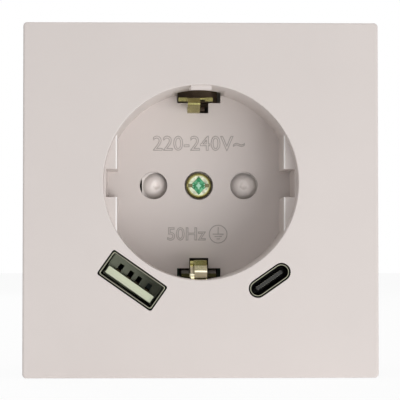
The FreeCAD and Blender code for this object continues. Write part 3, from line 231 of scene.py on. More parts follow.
# colours that have no setting
SPRING_STEEL = (0.5, 0.51, 0.52, 1.0)
SPRING_TARNISH = (0.4, 0.4, 0.4, 1.0)
SHADED_GOLD_TARNISH = (0.03, 0.025, 0.014, 1.0)
PAD_METAL = (0.62, 0.62, 0.52, 1.0)
PAD_TARNISH = (0.40, 0.40, 0.33, 1.0)
TONGUE_GREY = (0.03, 0.031, 0.027)
RING_TARNISH = (0.45, 0.46, 0.47, 1.0)
TINNED = (0.6, 0.58, 0.5, 1.0)
HEADER_BLACK = (0.01, 0.01, 0.01)
FERRITE = (0.02, 0.02, 0.022)
TAPE = (0.72, 0.45, 0.02)
SLEEVE = (0.012, 0.02, 0.06, 1.0)
ALUMINIUM = (0.7, 0.7, 0.72, 1.0)
EPOXY = (0.008, 0.008, 0.009)
FUSE_CAP = (0.7, 0.7, 0.68, 1.0)
FUSE_TARNISH = (0.5, 0.5, 0.48, 1.0)
FLOOR_WHITE = (0.9, 0.9, 0.9, 1.0)
WHITE = (1.0, 1.0, 1.0, 1.0)

NODES = frame["nodes"]
BODY_OF = {
    node: body
    for body, nodes in frame["record"]["behaviour"]["bodies"].items()
    for node in nodes
}


# materials


class Field:
    """A socket of a material; arithmetic on it adds Math nodes."""

    def __init__(self, finish, socket):
        self.finish = finish
        self.socket = socket

    def _math(self, operation, first, second):
        return self.finish.node("Math", {"operation": operation}, {0: first, 1: second})

    def __add__(self, other):
        return self._math("ADD", self, other)

    def __sub__(self, other):
        return self._math("SUBTRACT", self, other)

    def __rsub__(self, other):
        return self._math("SUBTRACT", other, self)

    def __mul__(self, other):
        return self._math("MULTIPLY", self, other)

    def __gt__(self, other):
        return self._math("GREATER_THAN", self, other)

    def __lt__(self, other):
        return self._math("LESS_THAN", self, other)

    __radd__ = __add__


class Tree:
    """A node tree that is built up from Python expressions."""

    def __init__(self, tree):
        self.tree = tree

    def node(self, kind, settings=None, inputs=None, output=0):
        """Add a node, with its settings first and then its inputs, and return one output."""
        made = self.tree.nodes.new("ShaderNode" + kind)
        for setting, value in (settings or {}).items():
            if setting == "stops":
                ramp = made.color_ramp.elements
                for stop, (position, colour) in enumerate(value):
                    element = ramp[stop] if stop < len(ramp) else ramp.new(position)
                    element.position = position
                    element.color = (*colour, 1.0)
            else:
                setattr(made, setting, value)
        for socket, value in (inputs or {}).items():
            self.feed(made.inputs[socket], value)
        return Field(self, made.outputs[output])

    def feed(self, socket, value):
        """Link a field into a socket, or set the socket's plain value."""
        if isinstance(value, Field):
            self.tree.links.new(value.socket, socket)
        else:
            socket.default_value = value

    def seen_rays(self):
        """One for rays that show a surface to the camera, straight, mirrored or through glass."""
        return (
            self.node("LightPath", output="Is Camera Ray")
            + self.node("LightPath", output="Is Glossy Ray")
            + self.node("LightPath", output="Is Transmission Ray")
        )


class Finish(Tree):
    """A material with one main shader."""

    def __init__(self, name):
        self.material = bpy.data.materials.new(name)
        self.material.use_nodes = True
        super().__init__(self.material.node_tree)
        self.shader = self.tree.nodes["Principled BSDF"]
        self.place = self.node("TexCoord", output="Object")

    def along(self, axis):
        """The place along one axis."""
        return self.node("SeparateXYZ", None, {0: self.place}, axis)

    def noise(self, size, detail=2.0, stretch=(1.0, 1.0, 1.0)):
        """Noise whose features are about as large as the given length, centred on zero."""
        place = self.node("Mapping", None, {"Vector": self.place, "Scale": stretch})
        values = {"Vector": place, "Scale": 1.0 / size, "Detail": detail}
        return self.node("TexNoise", None, values, "Fac") - 0.5

    def mix(self, factor, first, second):
        """Blend two colours."""
        return self.node("Mix", {"data_type": "RGBA"}, {0: factor, 6: first, 7: second}, 2)

    def bump(self, height, depth, strength=1.0):
        """A bumped normal from a height field, whose full range is the given depth."""
        inputs = {"Height": height, "Distance": depth, "Strength": strength}
        return self.node("Bump", None, inputs, "Normal")

    def set(self, **values):
        """Set or link the main shader's sockets, named with underscores for spaces."""
        for name, value in values.items():
            self.feed(self.shader.inputs[name.replace("_", " ")], value)
        return self.material


def shade(colour, factor):
    """A colour made lighter or darker, with full opacity."""
    return (*[min(1.0, channel * factor) for channel in colour[:3]], 1.0)


def flat_edge_highlight(finish):
    """One where a highlight is painted along the front edges of the two guide flats, and zero elsewhere."""
    across, depth, height = [finish.along(axis) for axis in ("X", "Y", "Z")]
    above = height - AXIS_HEIGHT
    aside = across * across * SQUARE_METRE
    inner, outer = EDGE_OUT
    front, back = EDGE_DEPTHS
    return (
        (aside > inner ** 2) * (outer ** 2 > aside) * (back > depth) * (depth > front)
        * (EDGE_HALF ** 2 > above * above * SQUARE_METRE)
    )


def moulded(name, colour, roughness, grain=0.00025, depth=0.000004, burnished=None):
    """Injection moulded plastic with a fine spark-eroded grain and faint flow marks, and a painted highlight where
    a mask is given.
    """
    finish = Finish(name)
    flow = finish.noise(0.018, 3.0)
    cloud = flow * 0.9 + 0.5
    fine = finish.noise(grain, 2.0)
    base = finish.mix(cloud, shade(colour, 0.97), shade(colour, 1.03))
    if burnished:
        base = finish.mix(burnished(finish), base, EDGE_HIGHLIGHT)
    return finish.set(
        Base_Color=base,
        Roughness=flow * 0.12 + fine * 0.08 + roughness,
        Normal=finish.bump(fine, depth),
        Specular_IOR_Level=0.42,
    )


def sheet_metal(name, colour, roughness, tarnish, rolled=(1.0, 8.0, 1.0), dull_to=None):
    """Rolled or plated metal with drawn lines and soft tarnish, and painted shade in front of a depth if given."""
    finish = Finish(name)
    lines = finish.noise(0.0004, 3.0, rolled)
    cloud = finish.noise(0.0035, 4.0)
    patch = finish.node(
        "ValToRGB",
        {"stops": ((0.35, (0.0, 0.0, 0.0)), (0.75, (1.0, 1.0, 1.0)))},
        {"Fac": cloud + 0.5},
    )
    base = finish.mix(patch, colour, tarnish)
    if dull_to:
        base = finish.mix(dull_to > finish.along("Y"), base, CONTACT_SHADE)
    return finish.set(
        Base_Color=base,
        Metallic=1.0,
        Roughness=lines * 0.14 + cloud * 0.2 + roughness,
        Normal=finish.bump(lines, 0.000006, 0.6),
    )


def screw_finish(name, plating, recess, depth):
    """Passivated zinc with a painted green sheen in the drive recess and painted shade on the slot's ends."""
    finish = Finish(name)
    depth_here = finish.along("Y")
    middle = finish.node(
        "Mapping",
        None,
        {"Vector": finish.place, "Location": (0.0, 0.0, -AXIS_HEIGHT), "Scale": (1.0, 0.0, 1.0)},
    )
    across = finish.node("VectorMath", {"operation": "LENGTH"}, {0: middle}, "Value")
    inside = (RECESS_RADIUS - across) > 0.0
    green = inside * (depth_here > depth) * (depth + RECESS_DEPTH - depth_here > 0.0)
    rim = (across > RIM_RADIUS) * 0.85
    height = finish.along("Z") - AXIS_HEIGHT
    level = (NOTCH_HALF > height) * (height > -NOTCH_HALF)
    notch_shade = level * (across > NOTCH_SPAN[0]) * (NOTCH_SPAN[1] > across)
    cloud = finish.noise(0.0009, 3.0)
    # random tone on the face, spread wide so that its light blotches are partly painted highlights
    face = finish.mix(cloud * 2.0 + 0.5, shade(plating, 0.55), shade(plating, 1.5))
    driven = finish.mix(green * (cloud * 1.6 + 0.7), finish.mix(rim, face, OLIVE), (*recess, 1.0))
    return finish.set(
        Base_Color=finish.mix(notch_shade, driven, NOTCH_SHADE),
        Metallic=1.0,
        Roughness=cloud * 0.2 + 0.2,
        Normal=finish.bump(cloud, 0.00002, 0.8),
    )


def shaded_port_shell(name, nickel, rim, depth):
    """Plated sheet painted dark as shade, with a painted highlight along its front edge."""
    finish = Finish(name)
    edge = {"From Min": depth, "From Max": depth + HIGHLIGHT_OVER, "To Min": 1.0, "To Max": 0.0}
    rim_highlight = finish.node("MapRange", None, {"Value": finish.along("Y"), **edge}, "Result")
    lines = finish.noise(0.0005, 3.0, (1.0, 6.0, 1.0))
    return finish.set(
        Base_Color=finish.mix(rim_highlight, (*nickel, 1.0), (*rim, 1.0)),
        Metallic=1.0,
        Roughness=lines * 0.14 + 0.3,
        Normal=finish.bump(lines, 0.000005, 0.6),
    )


def earth_brass(name, brass, tarnish, dark, depth):
    """Rolled brass strip, with painted shade far in the socket and painted highlights on the bottom tongue."""
    finish = Finish(name)
    lines = finish.noise(0.0006, 3.0, (1.0, 1.0, 6.0))
    cloud = finish.noise(0.0016, 4.0)
    depth_here = finish.along("Y")
    span = {"From Min": depth, "From Max": depth + SHADE_OVER}
    deep_shade = finish.node("MapRange", None, {"Value": depth_here, **span}, "Result")
    across = finish.along("X")
    height = finish.along("Z")
    low = 0.0 > height
    # painted shade beside the top clip's tongue, a painted highlight on the bottom tongue, and painted shade on
    # its shoulders
    tail_shade = (height > 0.0) * (BAR_TOP > height) * (across > 0.0) * (depth_here > TAIL_DEPTH)
    tongue_highlight = low * (TONGUE_RIGHT > across) * (TONGUE_TOP > height)
    shoulder_shade = low * (1.0 - (NECK_SPAN[1] > across) * (across > NECK_SPAN[0]))
    front = finish.mix(cloud * 1.6 + 0.4, (*tarnish, 1.0), (*brass, 1.0))
    front = finish.mix(tongue_highlight * (0.9 - cloud), front, BRASS_HIGHLIGHT)
    # a painted highlight along the left edge of the bottom tongue
    edge = low * (TONGUE_EDGE > across) * (TONGUE_TOP > height)
    front = finish.mix(edge, front, BRASS_HIGHLIGHT)
    front = finish.mix(shoulder_shade, front, SHOULDER_SHADE)
    # painted shade far in the socket and beside the top tongue, brown above the top clip's bar
    shade_mask = deep_shade + tail_shade
    return finish.set(
        Base_Color=finish.mix(shade_mask, front, finish.mix(height > BAR_TOP, (*dark, 1.0), BROWN_SHADE)),
        Metallic=1.0 - deep_shade * 0.6,
        Roughness=lines * 0.12 + cloud * 0.15 + deep_shade * 0.25 + 0.24,
        Normal=finish.bump(lines + cloud * 0.6, 0.000012, 0.7),
    )


def circuit_board(name, mask, copper):
    """Green solder mask with raised tracks and tinned pads."""
    finish = Finish(name)
    place = finish.node("Mapping", None, {"Vector": finish.place, "Scale": (1.0, 0.0, 1.0)})
    cells = finish.node(
        "TexBrick",
        {"offset": 0.37, "squash": 0.6, "squash_frequency": 3},
        {"Vector": place, "Scale": 330.0, "Mortar Size": 0.045, "Color1": (0, 0, 0, 1),
         "Color2": (0.2, 0.2, 0.2, 1), "Mortar": (1, 1, 1, 1)},
        "Fac",
    )
    spread = {"Vector": place, "Scale": 420.0, "Randomness": 0.35}
    pad = (0.16 - finish.node("TexVoronoi", {"feature": "F1"}, spread, "Distance")) > 0.0
    track = cells * 0.6
    return finish.set(
        Base_Color=finish.mix(pad, finish.mix(track, mask, shade(mask, 1.7)), copper),
        Metallic=pad * 0.9,
        Roughness=0.32 + finish.noise(0.002) * 0.1 - pad * 0.08,
        Normal=finish.bump(track + pad * 0.8, 0.00003),
    )


def wound_tape(name, colour):
    """Polyester tape around a winding, with the ridges of the wire under it."""
    finish = Finish(name)
    turns = finish.node(
        "TexWave",
        {"wave_type": "BANDS", "bands_direction": "Y", "wave_profile": "SIN"},
        {"Vector": finish.place, "Scale": 700.0, "Distortion": 0.6, "Detail": 1.0},
        "Fac",
    )
    return finish.set(
        Base_Color=finish.mix(turns, shade(colour, 0.8), shade(colour, 1.1)),
        Roughness=0.3 + turns * 0.12,
        Normal=finish.bump(turns, 0.00004),
    )


def sleeved_can(name, sleeve, metal, foot, top):
    """A can in a printed sleeve with a pale stripe, and bare aluminium at its end."""
    finish = Finish(name)
    bare = finish.along("Y") > top
    band = finish.noise(0.0015, 2.0)
    stripe = (finish.along("Z") * -1.0) > foot
    cover = finish.mix(stripe, sleeve, shade(sleeve, 4.0))
    return finish.set(
        Base_Color=finish.mix(bare, cover, metal),
        Metallic=bare * 0.95,
        Roughness=0.34 + band * 0.12,
        Normal=finish.bump(band, 0.00001),
    )


# pieces


def select_only(*things):
    """Leave exactly these objects selected, the first of them active."""
    bpy.ops.object.select_all(action="DESELECT")
    for thing in things:
        thing.select_set(True)
    bpy.context.view_layer.objects.active = things[0]


def settled(piece, node, material):
    """Give a new piece its material, and the body of a solid."""
    piece.data.materials.clear()
    piece.data.materials.append(material)
    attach(piece, BODY_OF[node])
    return piece


def dressed(
    node, name, material, width=0.0, segments=2, angle=EDGE_ANGLE, wanted=None, clamp=True,
    smooth=SMOOTH,
):
    """A copy of a solid with its triangles merged, its sharp edges rounded and smooth shading.

    With a test on an edge's two ends, only the edges for which it holds are rounded.
    """
    piece = bpy.data.objects.new(name, NODES[node].data.copy())
    bpy.context.scene.collection.objects.link(piece)
    select_only(piece)
    bpy.ops.object.mode_set(mode="EDIT")
    bpy.ops.mesh.select_all(action="SELECT")
    bpy.ops.mesh.remove_doubles(threshold=WELD)
    bpy.ops.mesh.dissolve_limited(angle_limit=math.radians(LEVEL))
    bpy.ops.mesh.select_all(action="DESELECT")
    bpy.ops.object.mode_set(mode="OBJECT")
    bpy.ops.mesh.customdata_custom_splitnormals_clear()
    if wanted:
        bpy.context.tool_settings.mesh_select_mode = (False, True, False)
        ends = [vertex.co for vertex in piece.data.vertices]
        for edge in piece.data.edges:
            edge.select = wanted(*[ends[index] for index in edge.vertices])
        bpy.ops.object.mode_set(mode="EDIT")
        bpy.ops.mesh.bevel(offset=width, segments=segments)
        bpy.ops.object.mode_set(mode="OBJECT")
    elif width:
        bevel = piece.modifiers.new("Edges", "BEVEL")
        bevel.limit_method = "ANGLE"
        bevel.angle_limit = math.radians(angle)
        bevel.width = width
        bevel.segments = segments
        bevel.miter_outer = "MITER_ARC"
        bevel.use_clamp_overlap = clamp
        bpy.ops.object.modifier_apply(modifier=bevel.name)
    soften(piece, smooth)
    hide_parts(node)
    return settled(piece, node, material)


def soften(piece, smooth=SMOOTH):
    """Smooth shading that stays even on the large flat faces beside rounded edges."""
    select_only(piece)
    bpy.ops.object.shade_smooth_by_angle(angle=math.radians(smooth))
    even = piece.modifiers.new("Even", "WEIGHTED_NORMAL")
    even.keep_sharp = True
    bpy.ops.object.modifier_apply(modifier=even.name)


def tidied(piece):
    """Join loose seams and turn every face outwards."""
    select_only(piece)
    bpy.ops.object.mode_set(mode="EDIT")
    bpy.ops.mesh.select_all(action="SELECT")
    bpy.ops.mesh.remove_doubles(threshold=SEAM)
    bpy.ops.mesh.normals_make_consistent(inside=False)
    bpy.ops.object.mode_set(mode="OBJECT")
    bpy.ops.object.transform_apply(location=True, rotation=True, scale=True)
    return piece


def lathe(name, middle, rings):
    """A solid of revolution about a line along Y, from pairs of radius and depth."""
    bpy.ops.object.select_all(action="DESELECT")
    radius, depth = rings[0]
    bpy.ops.mesh.primitive_circle_add(
        vertices=LATHE_SIDES, radius=radius, fill_type="NGON",
        location=(middle.x, depth, middle.z), rotation=(math.radians(90.0), 0.0, 0.0),
    )
    piece = bpy.context.active_object
    piece.name = name
    bpy.ops.object.transform_apply(location=True, rotation=True, scale=True)
    bpy.ops.object.mode_set(mode="EDIT")
    bpy.ops.mesh.select_all(action="SELECT")
    for wider, deeper in rings[1:]:
        step = {"value": (0.0, deeper - depth, 0.0)}
        bpy.ops.mesh.extrude_region_move(TRANSFORM_OT_translate=step)
        growth = wider / radius
        bpy.ops.transform.resize(
            value=(growth, 1.0, growth), center_override=(middle.x, deeper, middle.z)
        )
        radius, depth = wider, deeper
    bpy.ops.object.mode_set(mode="OBJECT")
    return tidied(piece)


def carve(piece, cutter):
    """Take a cutter away from a piece."""
    select_only(piece)
    hollow = piece.modifiers.new("Carve", "BOOLEAN")
    hollow.operation = "DIFFERENCE"
    hollow.solver = "EXACT"
    hollow.object = cutter
    bpy.ops.object.modifier_apply(modifier=hollow.name)
    bpy.data.objects.remove(cutter)


def tapered_bar(name, middle, length, width, depth, taper):
    """A bar lengthwise along X whose far end, along Y, is smaller, for cutting a recess."""
    bpy.ops.object.select_all(action="DESELECT")
    bpy.ops.mesh.primitive_cube_add(size=1.0, location=middle)
    piece = bpy.context.active_object
    piece.name = name
    piece.scale = (length, 2.0 * depth, width)
    bpy.ops.object.transform_apply(location=True, rotation=True, scale=True)
    pick_faces(piece, lambda face: face.center.y > middle.y + depth * FAR_END)
    bpy.ops.object.mode_set(mode="EDIT")
    bpy.ops.transform.resize(value=(taper, 1.0, taper), center_override=middle)
    bpy.ops.object.mode_set(mode="OBJECT")
    return piece


def star_cutter(name, middle, reach, depth):
    """A four-pointed star that narrows along Y, for cutting a recess."""
    bpy.ops.object.select_all(action="DESELECT")
    bpy.ops.mesh.primitive_cone_add(
        vertices=8, radius1=reach * STAR_MOUTH, radius2=reach * STAR_FOOT,
        depth=(1.0 + STAR_ABOVE) * depth,
        location=middle + Vector((0.0, (1.0 - STAR_ABOVE) / 2 * depth, 0.0)),
        rotation=(math.radians(-90.0), 0.0, 0.0),
    )
    piece = bpy.context.active_object
    piece.name = name
    bpy.ops.object.transform_apply(location=True, rotation=True, scale=True)
    for vertex in piece.data.vertices:
        side = vertex.co - middle
        if min(abs(side.x), abs(side.z)) > STAR_POINT * max(abs(side.x), abs(side.z)):
            vertex.co.x = middle.x + side.x * STAR_WAIST
            vertex.co.z = middle.z + side.z * STAR_WAIST
    return piece


def pick_faces(piece, wanted):
    """Select only the faces for which a test holds."""
    select_only(piece)
    bpy.ops.object.mode_set(mode="EDIT")
    bpy.ops.mesh.select_mode(type="FACE")
    bpy.ops.mesh.select_all(action="DESELECT")
    bpy.ops.object.mode_set(mode="OBJECT")
    for face in piece.data.polygons:
        face.select = wanted(face)


def slanted_strip(name, sides, front, back, faces):
    """A strip of sheet that slants from a front line to a back line, with its edges rounded."""
    bpy.ops.object.select_all(action="DESELECT")
    bpy.ops.mesh.primitive_cube_add(size=1.0)
    piece = bpy.context.active_object
    piece.name = name
    for vertex in piece.data.vertices:
        right, far, upper = [place > 0.0 for place in vertex.co]
        depth, height = back if far else front
        vertex.co = (sides[right], depth, height + faces[upper])
    rounding = piece.modifiers.new("Edges", "BEVEL")
    rounding.width = details().burr
    rounding.segments = 2
    bpy.ops.object.modifier_apply(modifier=rounding.name)
    soften(tidied(piece))
    return piece


def show(node, material):
    """Show a solid as it is, with its own finish."""
    solid = NODES[node]
    solid.data.materials.clear()
    solid.data.materials.append(material)


def marking(name, text, height, middle, material, line):
    """Raised outlines of letters that face the front, with a given height and middle."""
    bpy.ops.object.select_all(action="DESELECT")
    bpy.ops.object.text_add()
    piece = bpy.context.active_object
    piece.name = name
    words = piece.data
    words.body = text
    words.align_x = "CENTER"
    words.align_y = "CENTER"
    words.size = height
    words.fill_mode = "NONE"
    words.bevel_depth = line
    words.bevel_resolution = 1
    words.resolution_u = 3
    piece.rotation_euler = (math.radians(90.0), 0.0, 0.0)
    piece.location = middle
    bpy.ops.object.convert(target="MESH")
    piece = bpy.context.active_object
    bpy.ops.object.transform_apply(location=True, rotation=True, scale=True)
    bpy.ops.object.shade_smooth()
    return settled(piece, "cover_plate", material)


def earth_mark(name, middle, material, line):
    """The raised sign for protective earth: a circle round a stem and three bars."""
    bpy.ops.object.select_all(action="DESELECT")
    bpy.ops.mesh.primitive_torus_add(
        location=middle, rotation=(math.radians(90.0), 0.0, 0.0), major_radius=EARTH_CIRCLE,
        minor_radius=line, major_segments=48, minor_segments=6,
    )
    piece = bpy.context.active_object
    piece.name = name
    bpy.ops.object.mode_set(mode="EDIT")
    for across, height, long, upright in EARTH_STROKES:
        bpy.ops.mesh.primitive_cylinder_add(
            vertices=8, radius=line, depth=long, location=middle + Vector((across, 0.0, height)),
            rotation=(0.0, 0.0 if upright else math.radians(90.0), 0.0),
        )
    bpy.ops.object.mode_set(mode="OBJECT")
    tidied(piece)
    bpy.ops.object.shade_smooth()
    return settled(piece, "cover_plate", material)


# settings


def colour(name, description, default):
    """A colour property."""
    return bpy.props.FloatVectorProperty(
        name=name, description=description, default=default, size=3, min=0.0, max=1.0,
        subtype="COLOR",
    )


def length(name, description, millimetres):
    """A length property, given in millimetres and kept in metres."""
    return bpy.props.FloatProperty(
        name=name, description=description, default=millimetres * MM, min=0.0, subtype="DISTANCE",
        unit="LENGTH", precision=6,
    )


class SocketFinishes(bpy.types.PropertyGroup):
    """Colours of the materials."""

    cover: colour("Cover", "Satin moulding of the plate and the shutter", (0.690, 0.632, 0.606))
    brass: colour("Brass", "Bare contact brass", (0.50, 0.46, 0.20))
    tarnish: colour("Tarnish", "Darker patches on the brass", (0.30, 0.27, 0.10))
    zinc: colour("Zinc", "Passivated zinc on the screw", (0.62, 0.64, 0.48))
    # the screw recess colour is a painted sheen
    recess: colour("Screw recess", "Green sheen in the screw's drive recess", (0.26, 0.62, 0.46))
    # the port shells' plating colour is painted dark as shade, and the rim colour is painted on as a highlight
    nickel: colour("Nickel", "Plating of both port shells", (0.035, 0.035, 0.025))
    rim: colour("Worn rim", "Front edges of both port shells", (0.50, 0.50, 0.38))
    steel: colour("Steel", "Galvanised ring in the wall", (0.62, 0.64, 0.65))
    # the contacts' colour is gold darkened nearly to black as painted shade
    gold: colour("Gold", "Contacts of the ports", (0.05, 0.042, 0.022))
    housing: colour("Housing", "Moulding in the wall", (0.026, 0.026, 0.028))
    button: colour("Button", "Release buttons", (0.75, 0.15, 0.012))
    insulator: colour("Insulator", "Carrier and shutter tray", (0.67, 0.65, 0.58))
    tongue: colour("Tongue", "Tongue of the wide port", (0.60, 0.64, 0.47))
    mask: colour("Solder mask", "Circuit boards", (0.008, 0.075, 0.022))


class SocketDetails(bpy.types.PropertyGroup):
    """Sizes of the fine forms."""

    line: length("Marking line", "Half the width of the raised outlines", 0.08)
    letters: length("Letters", "Height of the letters on the recess floor", 4.3)
    sharp: length("Cover edge", "Rounding on the cover's inner edges", 0.25)
    rim: length("Port rim", "Rounding on the front edge of both port shells", 0.14)
    burr: length("Sheet edge", "Rounding on the edges of punched sheet", 0.08)
    edge: length("Moulded edge", "Rounding on the edges of mouldings", 0.15)


class SocketStage(bpy.types.PropertyGroup):
    """Camera and light."""

    distance: length("Distance", "From the camera to the plate's front", 331.0)
    lens: bpy.props.FloatProperty(
        name="Lens", description="Focal length on a 36 mm sensor", default=149.5, min=1.0
    )
    sky: bpy.props.FloatProperty(
        name="Sky", description="Strength of the light from all round", default=0.40, min=0.0,
        max=1.0,
    )
    key: bpy.props.FloatProperty(
        name="Key lamp", description="Power of the lamp low at the right", default=1.78, min=0.0
    )
    top: bpy.props.FloatProperty(
        name="Top lamp", description="Power of the lamps above and behind", default=1.4, min=0.0
    )


def finishes():
    """The colours that the user set."""
    return bpy.context.scene.socket_finishes


def details():
    """The fine sizes that the user set."""
    return bpy.context.scene.socket_details


def painted(name, make, *values, **more):
    """A finish by name, made once; the prefix keeps it apart from the solids' own materials."""
    own_name = f"finish_{name}"
    return bpy.data.materials.get(own_name) or make(own_name, *values, **more)


def cover_plastic():
    """The satin moulding of the cover, with a highlight painted along the front edges of its guide flats."""
    return painted("cover_plastic", moulded, finishes().cover, 0.42, burnished=flat_edge_highlight)


def contact_brass():
    """Rolled brass strip, with painted shade on its front part."""
    colours = finishes()
    return painted(
        "contact_brass", sheet_metal, (*colours.brass, 1.0), 0.27, (*colours.tarnish, 1.0),
        (1.0, 1.0, 6.0), dull_to=CONTACT_SHADE_DEPTH,
    )


def spring_steel():
    """Bright drawn or rolled spring steel."""
    return painted("spring_steel", sheet_metal, SPRING_STEEL, 0.25, SPRING_TARNISH)


def port_nickel():
    """The plated sheet of both port shells, painted dark as shade with a painted highlight on its front edges."""
    colours = finishes()
    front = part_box("usb_a_shell")[0].y
    return painted("port_nickel", shaded_port_shell, colours.nickel, colours.rim, front)


# operators


class SOCKET_OT_cover(bpy.types.Operator):
    """Dress the cover plate and raise the markings on the recess floor"""

    bl_idname = "socket.cover"
    bl_label = "Cover Plate"

    def execute(self, context):
        sizes = details()
        dressed(
            "cover_plate", "cover_moulding", cover_plastic(), sizes.sharp,
            wanted=lambda *ends: all(
                abs(abs(end.x) - FLAT_REACH) < FLAT_PLAY and end.y < FLAT_DEPTH for end in ends
            ),
            smooth=SMOOTH_COVER,
        )
        # the markings take a darker copy of the cover's colour as painted shade
        marks = painted("marking_plastic", moulded, shade(finishes().cover, MARK_PAINTED_SHADE)[:3], 0.5)
        floor = Vector((0.0, MARKS_DEPTH, AXIS_HEIGHT))
        rating, frequency, earth = [
            floor + Vector((across, 0.0, up))
            for across, up in (RATING_PLACE, FREQUENCY_PLACE, EARTH_PLACE)
        ]
        letters = sizes.letters
        marking("rating_marks", "220-240V~", letters, rating, marks, sizes.line)
        marking("frequency_marks", "50Hz", FREQUENCY_SHARE * letters, frequency, marks, sizes.line)
        earth_mark("earth_marks", earth, marks, sizes.line)
        ramp = slanted_strip("clip_ramp", RAMP_SIDES, RAMP_FRONT, RAMP_BACK, RAMP_FACES)
        settled(ramp, "cover_plate", cover_plastic())
        return {"FINISHED"}


class SOCKET_OT_shutter(bpy.types.Operator):
    """Dress the shutter, its tray and its spring"""

    bl_idname = "socket.shutter"
    bl_label = "Shutter"

    def execute(self, context):
        # the shutter takes a lighter copy of the cover's colour: partly a whiter plastic and partly a painted
        # highlight on the pads
        lit_plastic = painted("shutter_plastic", moulded, shade(finishes().cover, PAD_PAINTED_LIGHT)[:3], 0.32)
        shutter = dressed("shutter_slider", "shutter_moulding", lit_plastic)
        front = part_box("shutter_slider")[0].y
        for vertex in shutter.data.vertices:
            if vertex.co.y < front + PAD_FACE:
                inward = abs(PAD_OUTSIDE[vertex.co.x > 0.0] - vertex.co.x)
                vertex.co.y += PAD_SLOPE * inward
        show("shutter_tray", painted("insulator", moulded, finishes().insulator, 0.5))
        self.spring()
        return {"FINISHED"}

    def spring(self):
        """The coil between the shutter and its tray; the share of its length left when the shutter rises is worked
        out but not applied.
        """
        spring = dressed("shutter_spring", "return_spring", spring_steel())
        low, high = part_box("shutter_spring")
        travel = next(
            joint["range_m"][1] for joint in frame["joints"] if joint["name"] == "shutter_slide"
        )
        left = 1.0 - (travel + SPRING_PLAY) / (high.z - low.z)
        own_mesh(spring)


class SOCKET_OT_screw(bpy.types.Operator):
    """Dress the cover screw"""

    bl_idname = "socket.screw"
    bl_label = "Cover Screw"

    def execute(self, context):
        face = Vector((0.0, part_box("cover_screw")[0].y, AXIS_HEIGHT))
        rings = list(HEAD_RINGS)
        for turn in range(THREAD_TURNS):
            depth = THREAD_START + turn * THREAD_PITCH
            rings += [(THREAD_CREST, depth), (THREAD_ROOT, depth + THREAD_PITCH / 2)]
        rings += [(THREAD_CREST, depth + THREAD_PITCH), SCREW_TIP]
        turned = [(radius * MM, face.y + depth * MM) for radius, depth in rings]
        screw = lathe("screw", face, turned)
        carve(screw, tapered_bar("slot_cutter", face, *SLOT_BAR))
        carve(screw, tapered_bar("cross_cutter", face, *CROSS_BAR))
        carve(screw, star_cutter("star_cutter", face, STAR_REACH, STAR_DEPTH))
        soften(screw)
        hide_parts("cover_screw")
        colours = finishes()
        start = face.y + RECESS_START
        zinc = painted("screw_zinc", screw_finish, colours.zinc, colours.recess, start)
        settled(screw, "cover_screw", zinc)
        return {"FINISHED"}


class SOCKET_OT_earth(bpy.types.Operator):
    """Dress the earth clips, their strap, rivets and terminal"""

    bl_idname = "socket.earth"
    bl_label = "Earth Contacts"

    def execute(self, context):
        colours = finishes()
        brass = painted(
            "earth_brass", earth_brass, colours.brass, colours.tarnish, BRASS_SHADE, SHADE_FROM
        )
        for place in ("top", "bottom"):
            dressed(
                f"earth_clip_{place}", f"clip_{place}", brass, details().burr, 2, CLIP_EDGE_ANGLE
            )
        for node in ("earth_strap", "earth_rivets", "earth_terminal"):
            show(node, brass)
        neck = slanted_strip("clip_bottom_neck", NECK_SIDES, NECK_FRONT, NECK_BACK, NECK_FACES)
        settled(neck, "earth_clip_bottom", brass)
        return {"FINISHED"}


class SOCKET_OT_wide_port(bpy.types.Operator):
    """Dress the wide charging port"""

    bl_idname = "socket.wide_port"
    bl_label = "Wide Port"

    def execute(self, context):
        nickel = port_nickel()
        dressed("usb_a_shell", "wide_shell", nickel, details().rim, 3, clamp=False)
        cream = painted("tongue_cream", moulded, finishes().tongue, 0.45)
        dressed("usb_a_insulator", "wide_tongue", cream, TONGUE_ROUNDING)
        # the contacts are painted dark as shade
        gold = painted("port_gold", sheet_metal, (*finishes().gold, 1), 0.6, SHADED_GOLD_TARNISH)
        show("usb_a_contacts", gold)
        return {"FINISHED"}


class SOCKET_OT_small_port(bpy.types.Operator):
    """Dress the small charging port"""

    bl_idname = "socket.small_port"
    bl_label = "Small Port"

    def execute(self, context):
        nickel = port_nickel()
        dressed("usb_c_shell", "small_shell", nickel, details().rim, 3, clamp=False)
        show("usb_c_tongue", painted("tongue_grey", moulded, TONGUE_GREY, 0.45))
        show("usb_c_contacts", painted("pad_metal", sheet_metal, PAD_METAL, 0.42, PAD_TARNISH))
        return {"FINISHED"}


class SOCKET_OT_ring(bpy.types.Operator):
    """Dress the support ring"""

    bl_idname = "socket.ring"
    bl_label = "Support Ring"

    def execute(self, context):
        steel = painted("ring_steel", sheet_metal, (*finishes().steel, 1), 0.34, RING_TARNISH)
        dressed("support_ring", "ring", steel)
        return {"FINISHED"}


class SOCKET_OT_housing(bpy.types.Operator):
    """Dress the housing in the wall, its front and the release buttons"""

    bl_idname = "socket.housing"
    bl_label = "Housing"

    def execute(self, context):
        dark = painted("housing_plastic", moulded, finishes().housing, 0.48, 0.0005, 0.00001)
        dressed("rear_housing", "housing", dark)
        show("insert_front", dark)
        orange = painted("button_plastic", moulded, finishes().button, 0.4)
        for terminal in ("line", "neutral", "earth"):
            moulding = f"{terminal}_button_moulding"
            dressed(f"{terminal}_release_button", moulding, orange, details().edge)
        return {"FINISHED"}


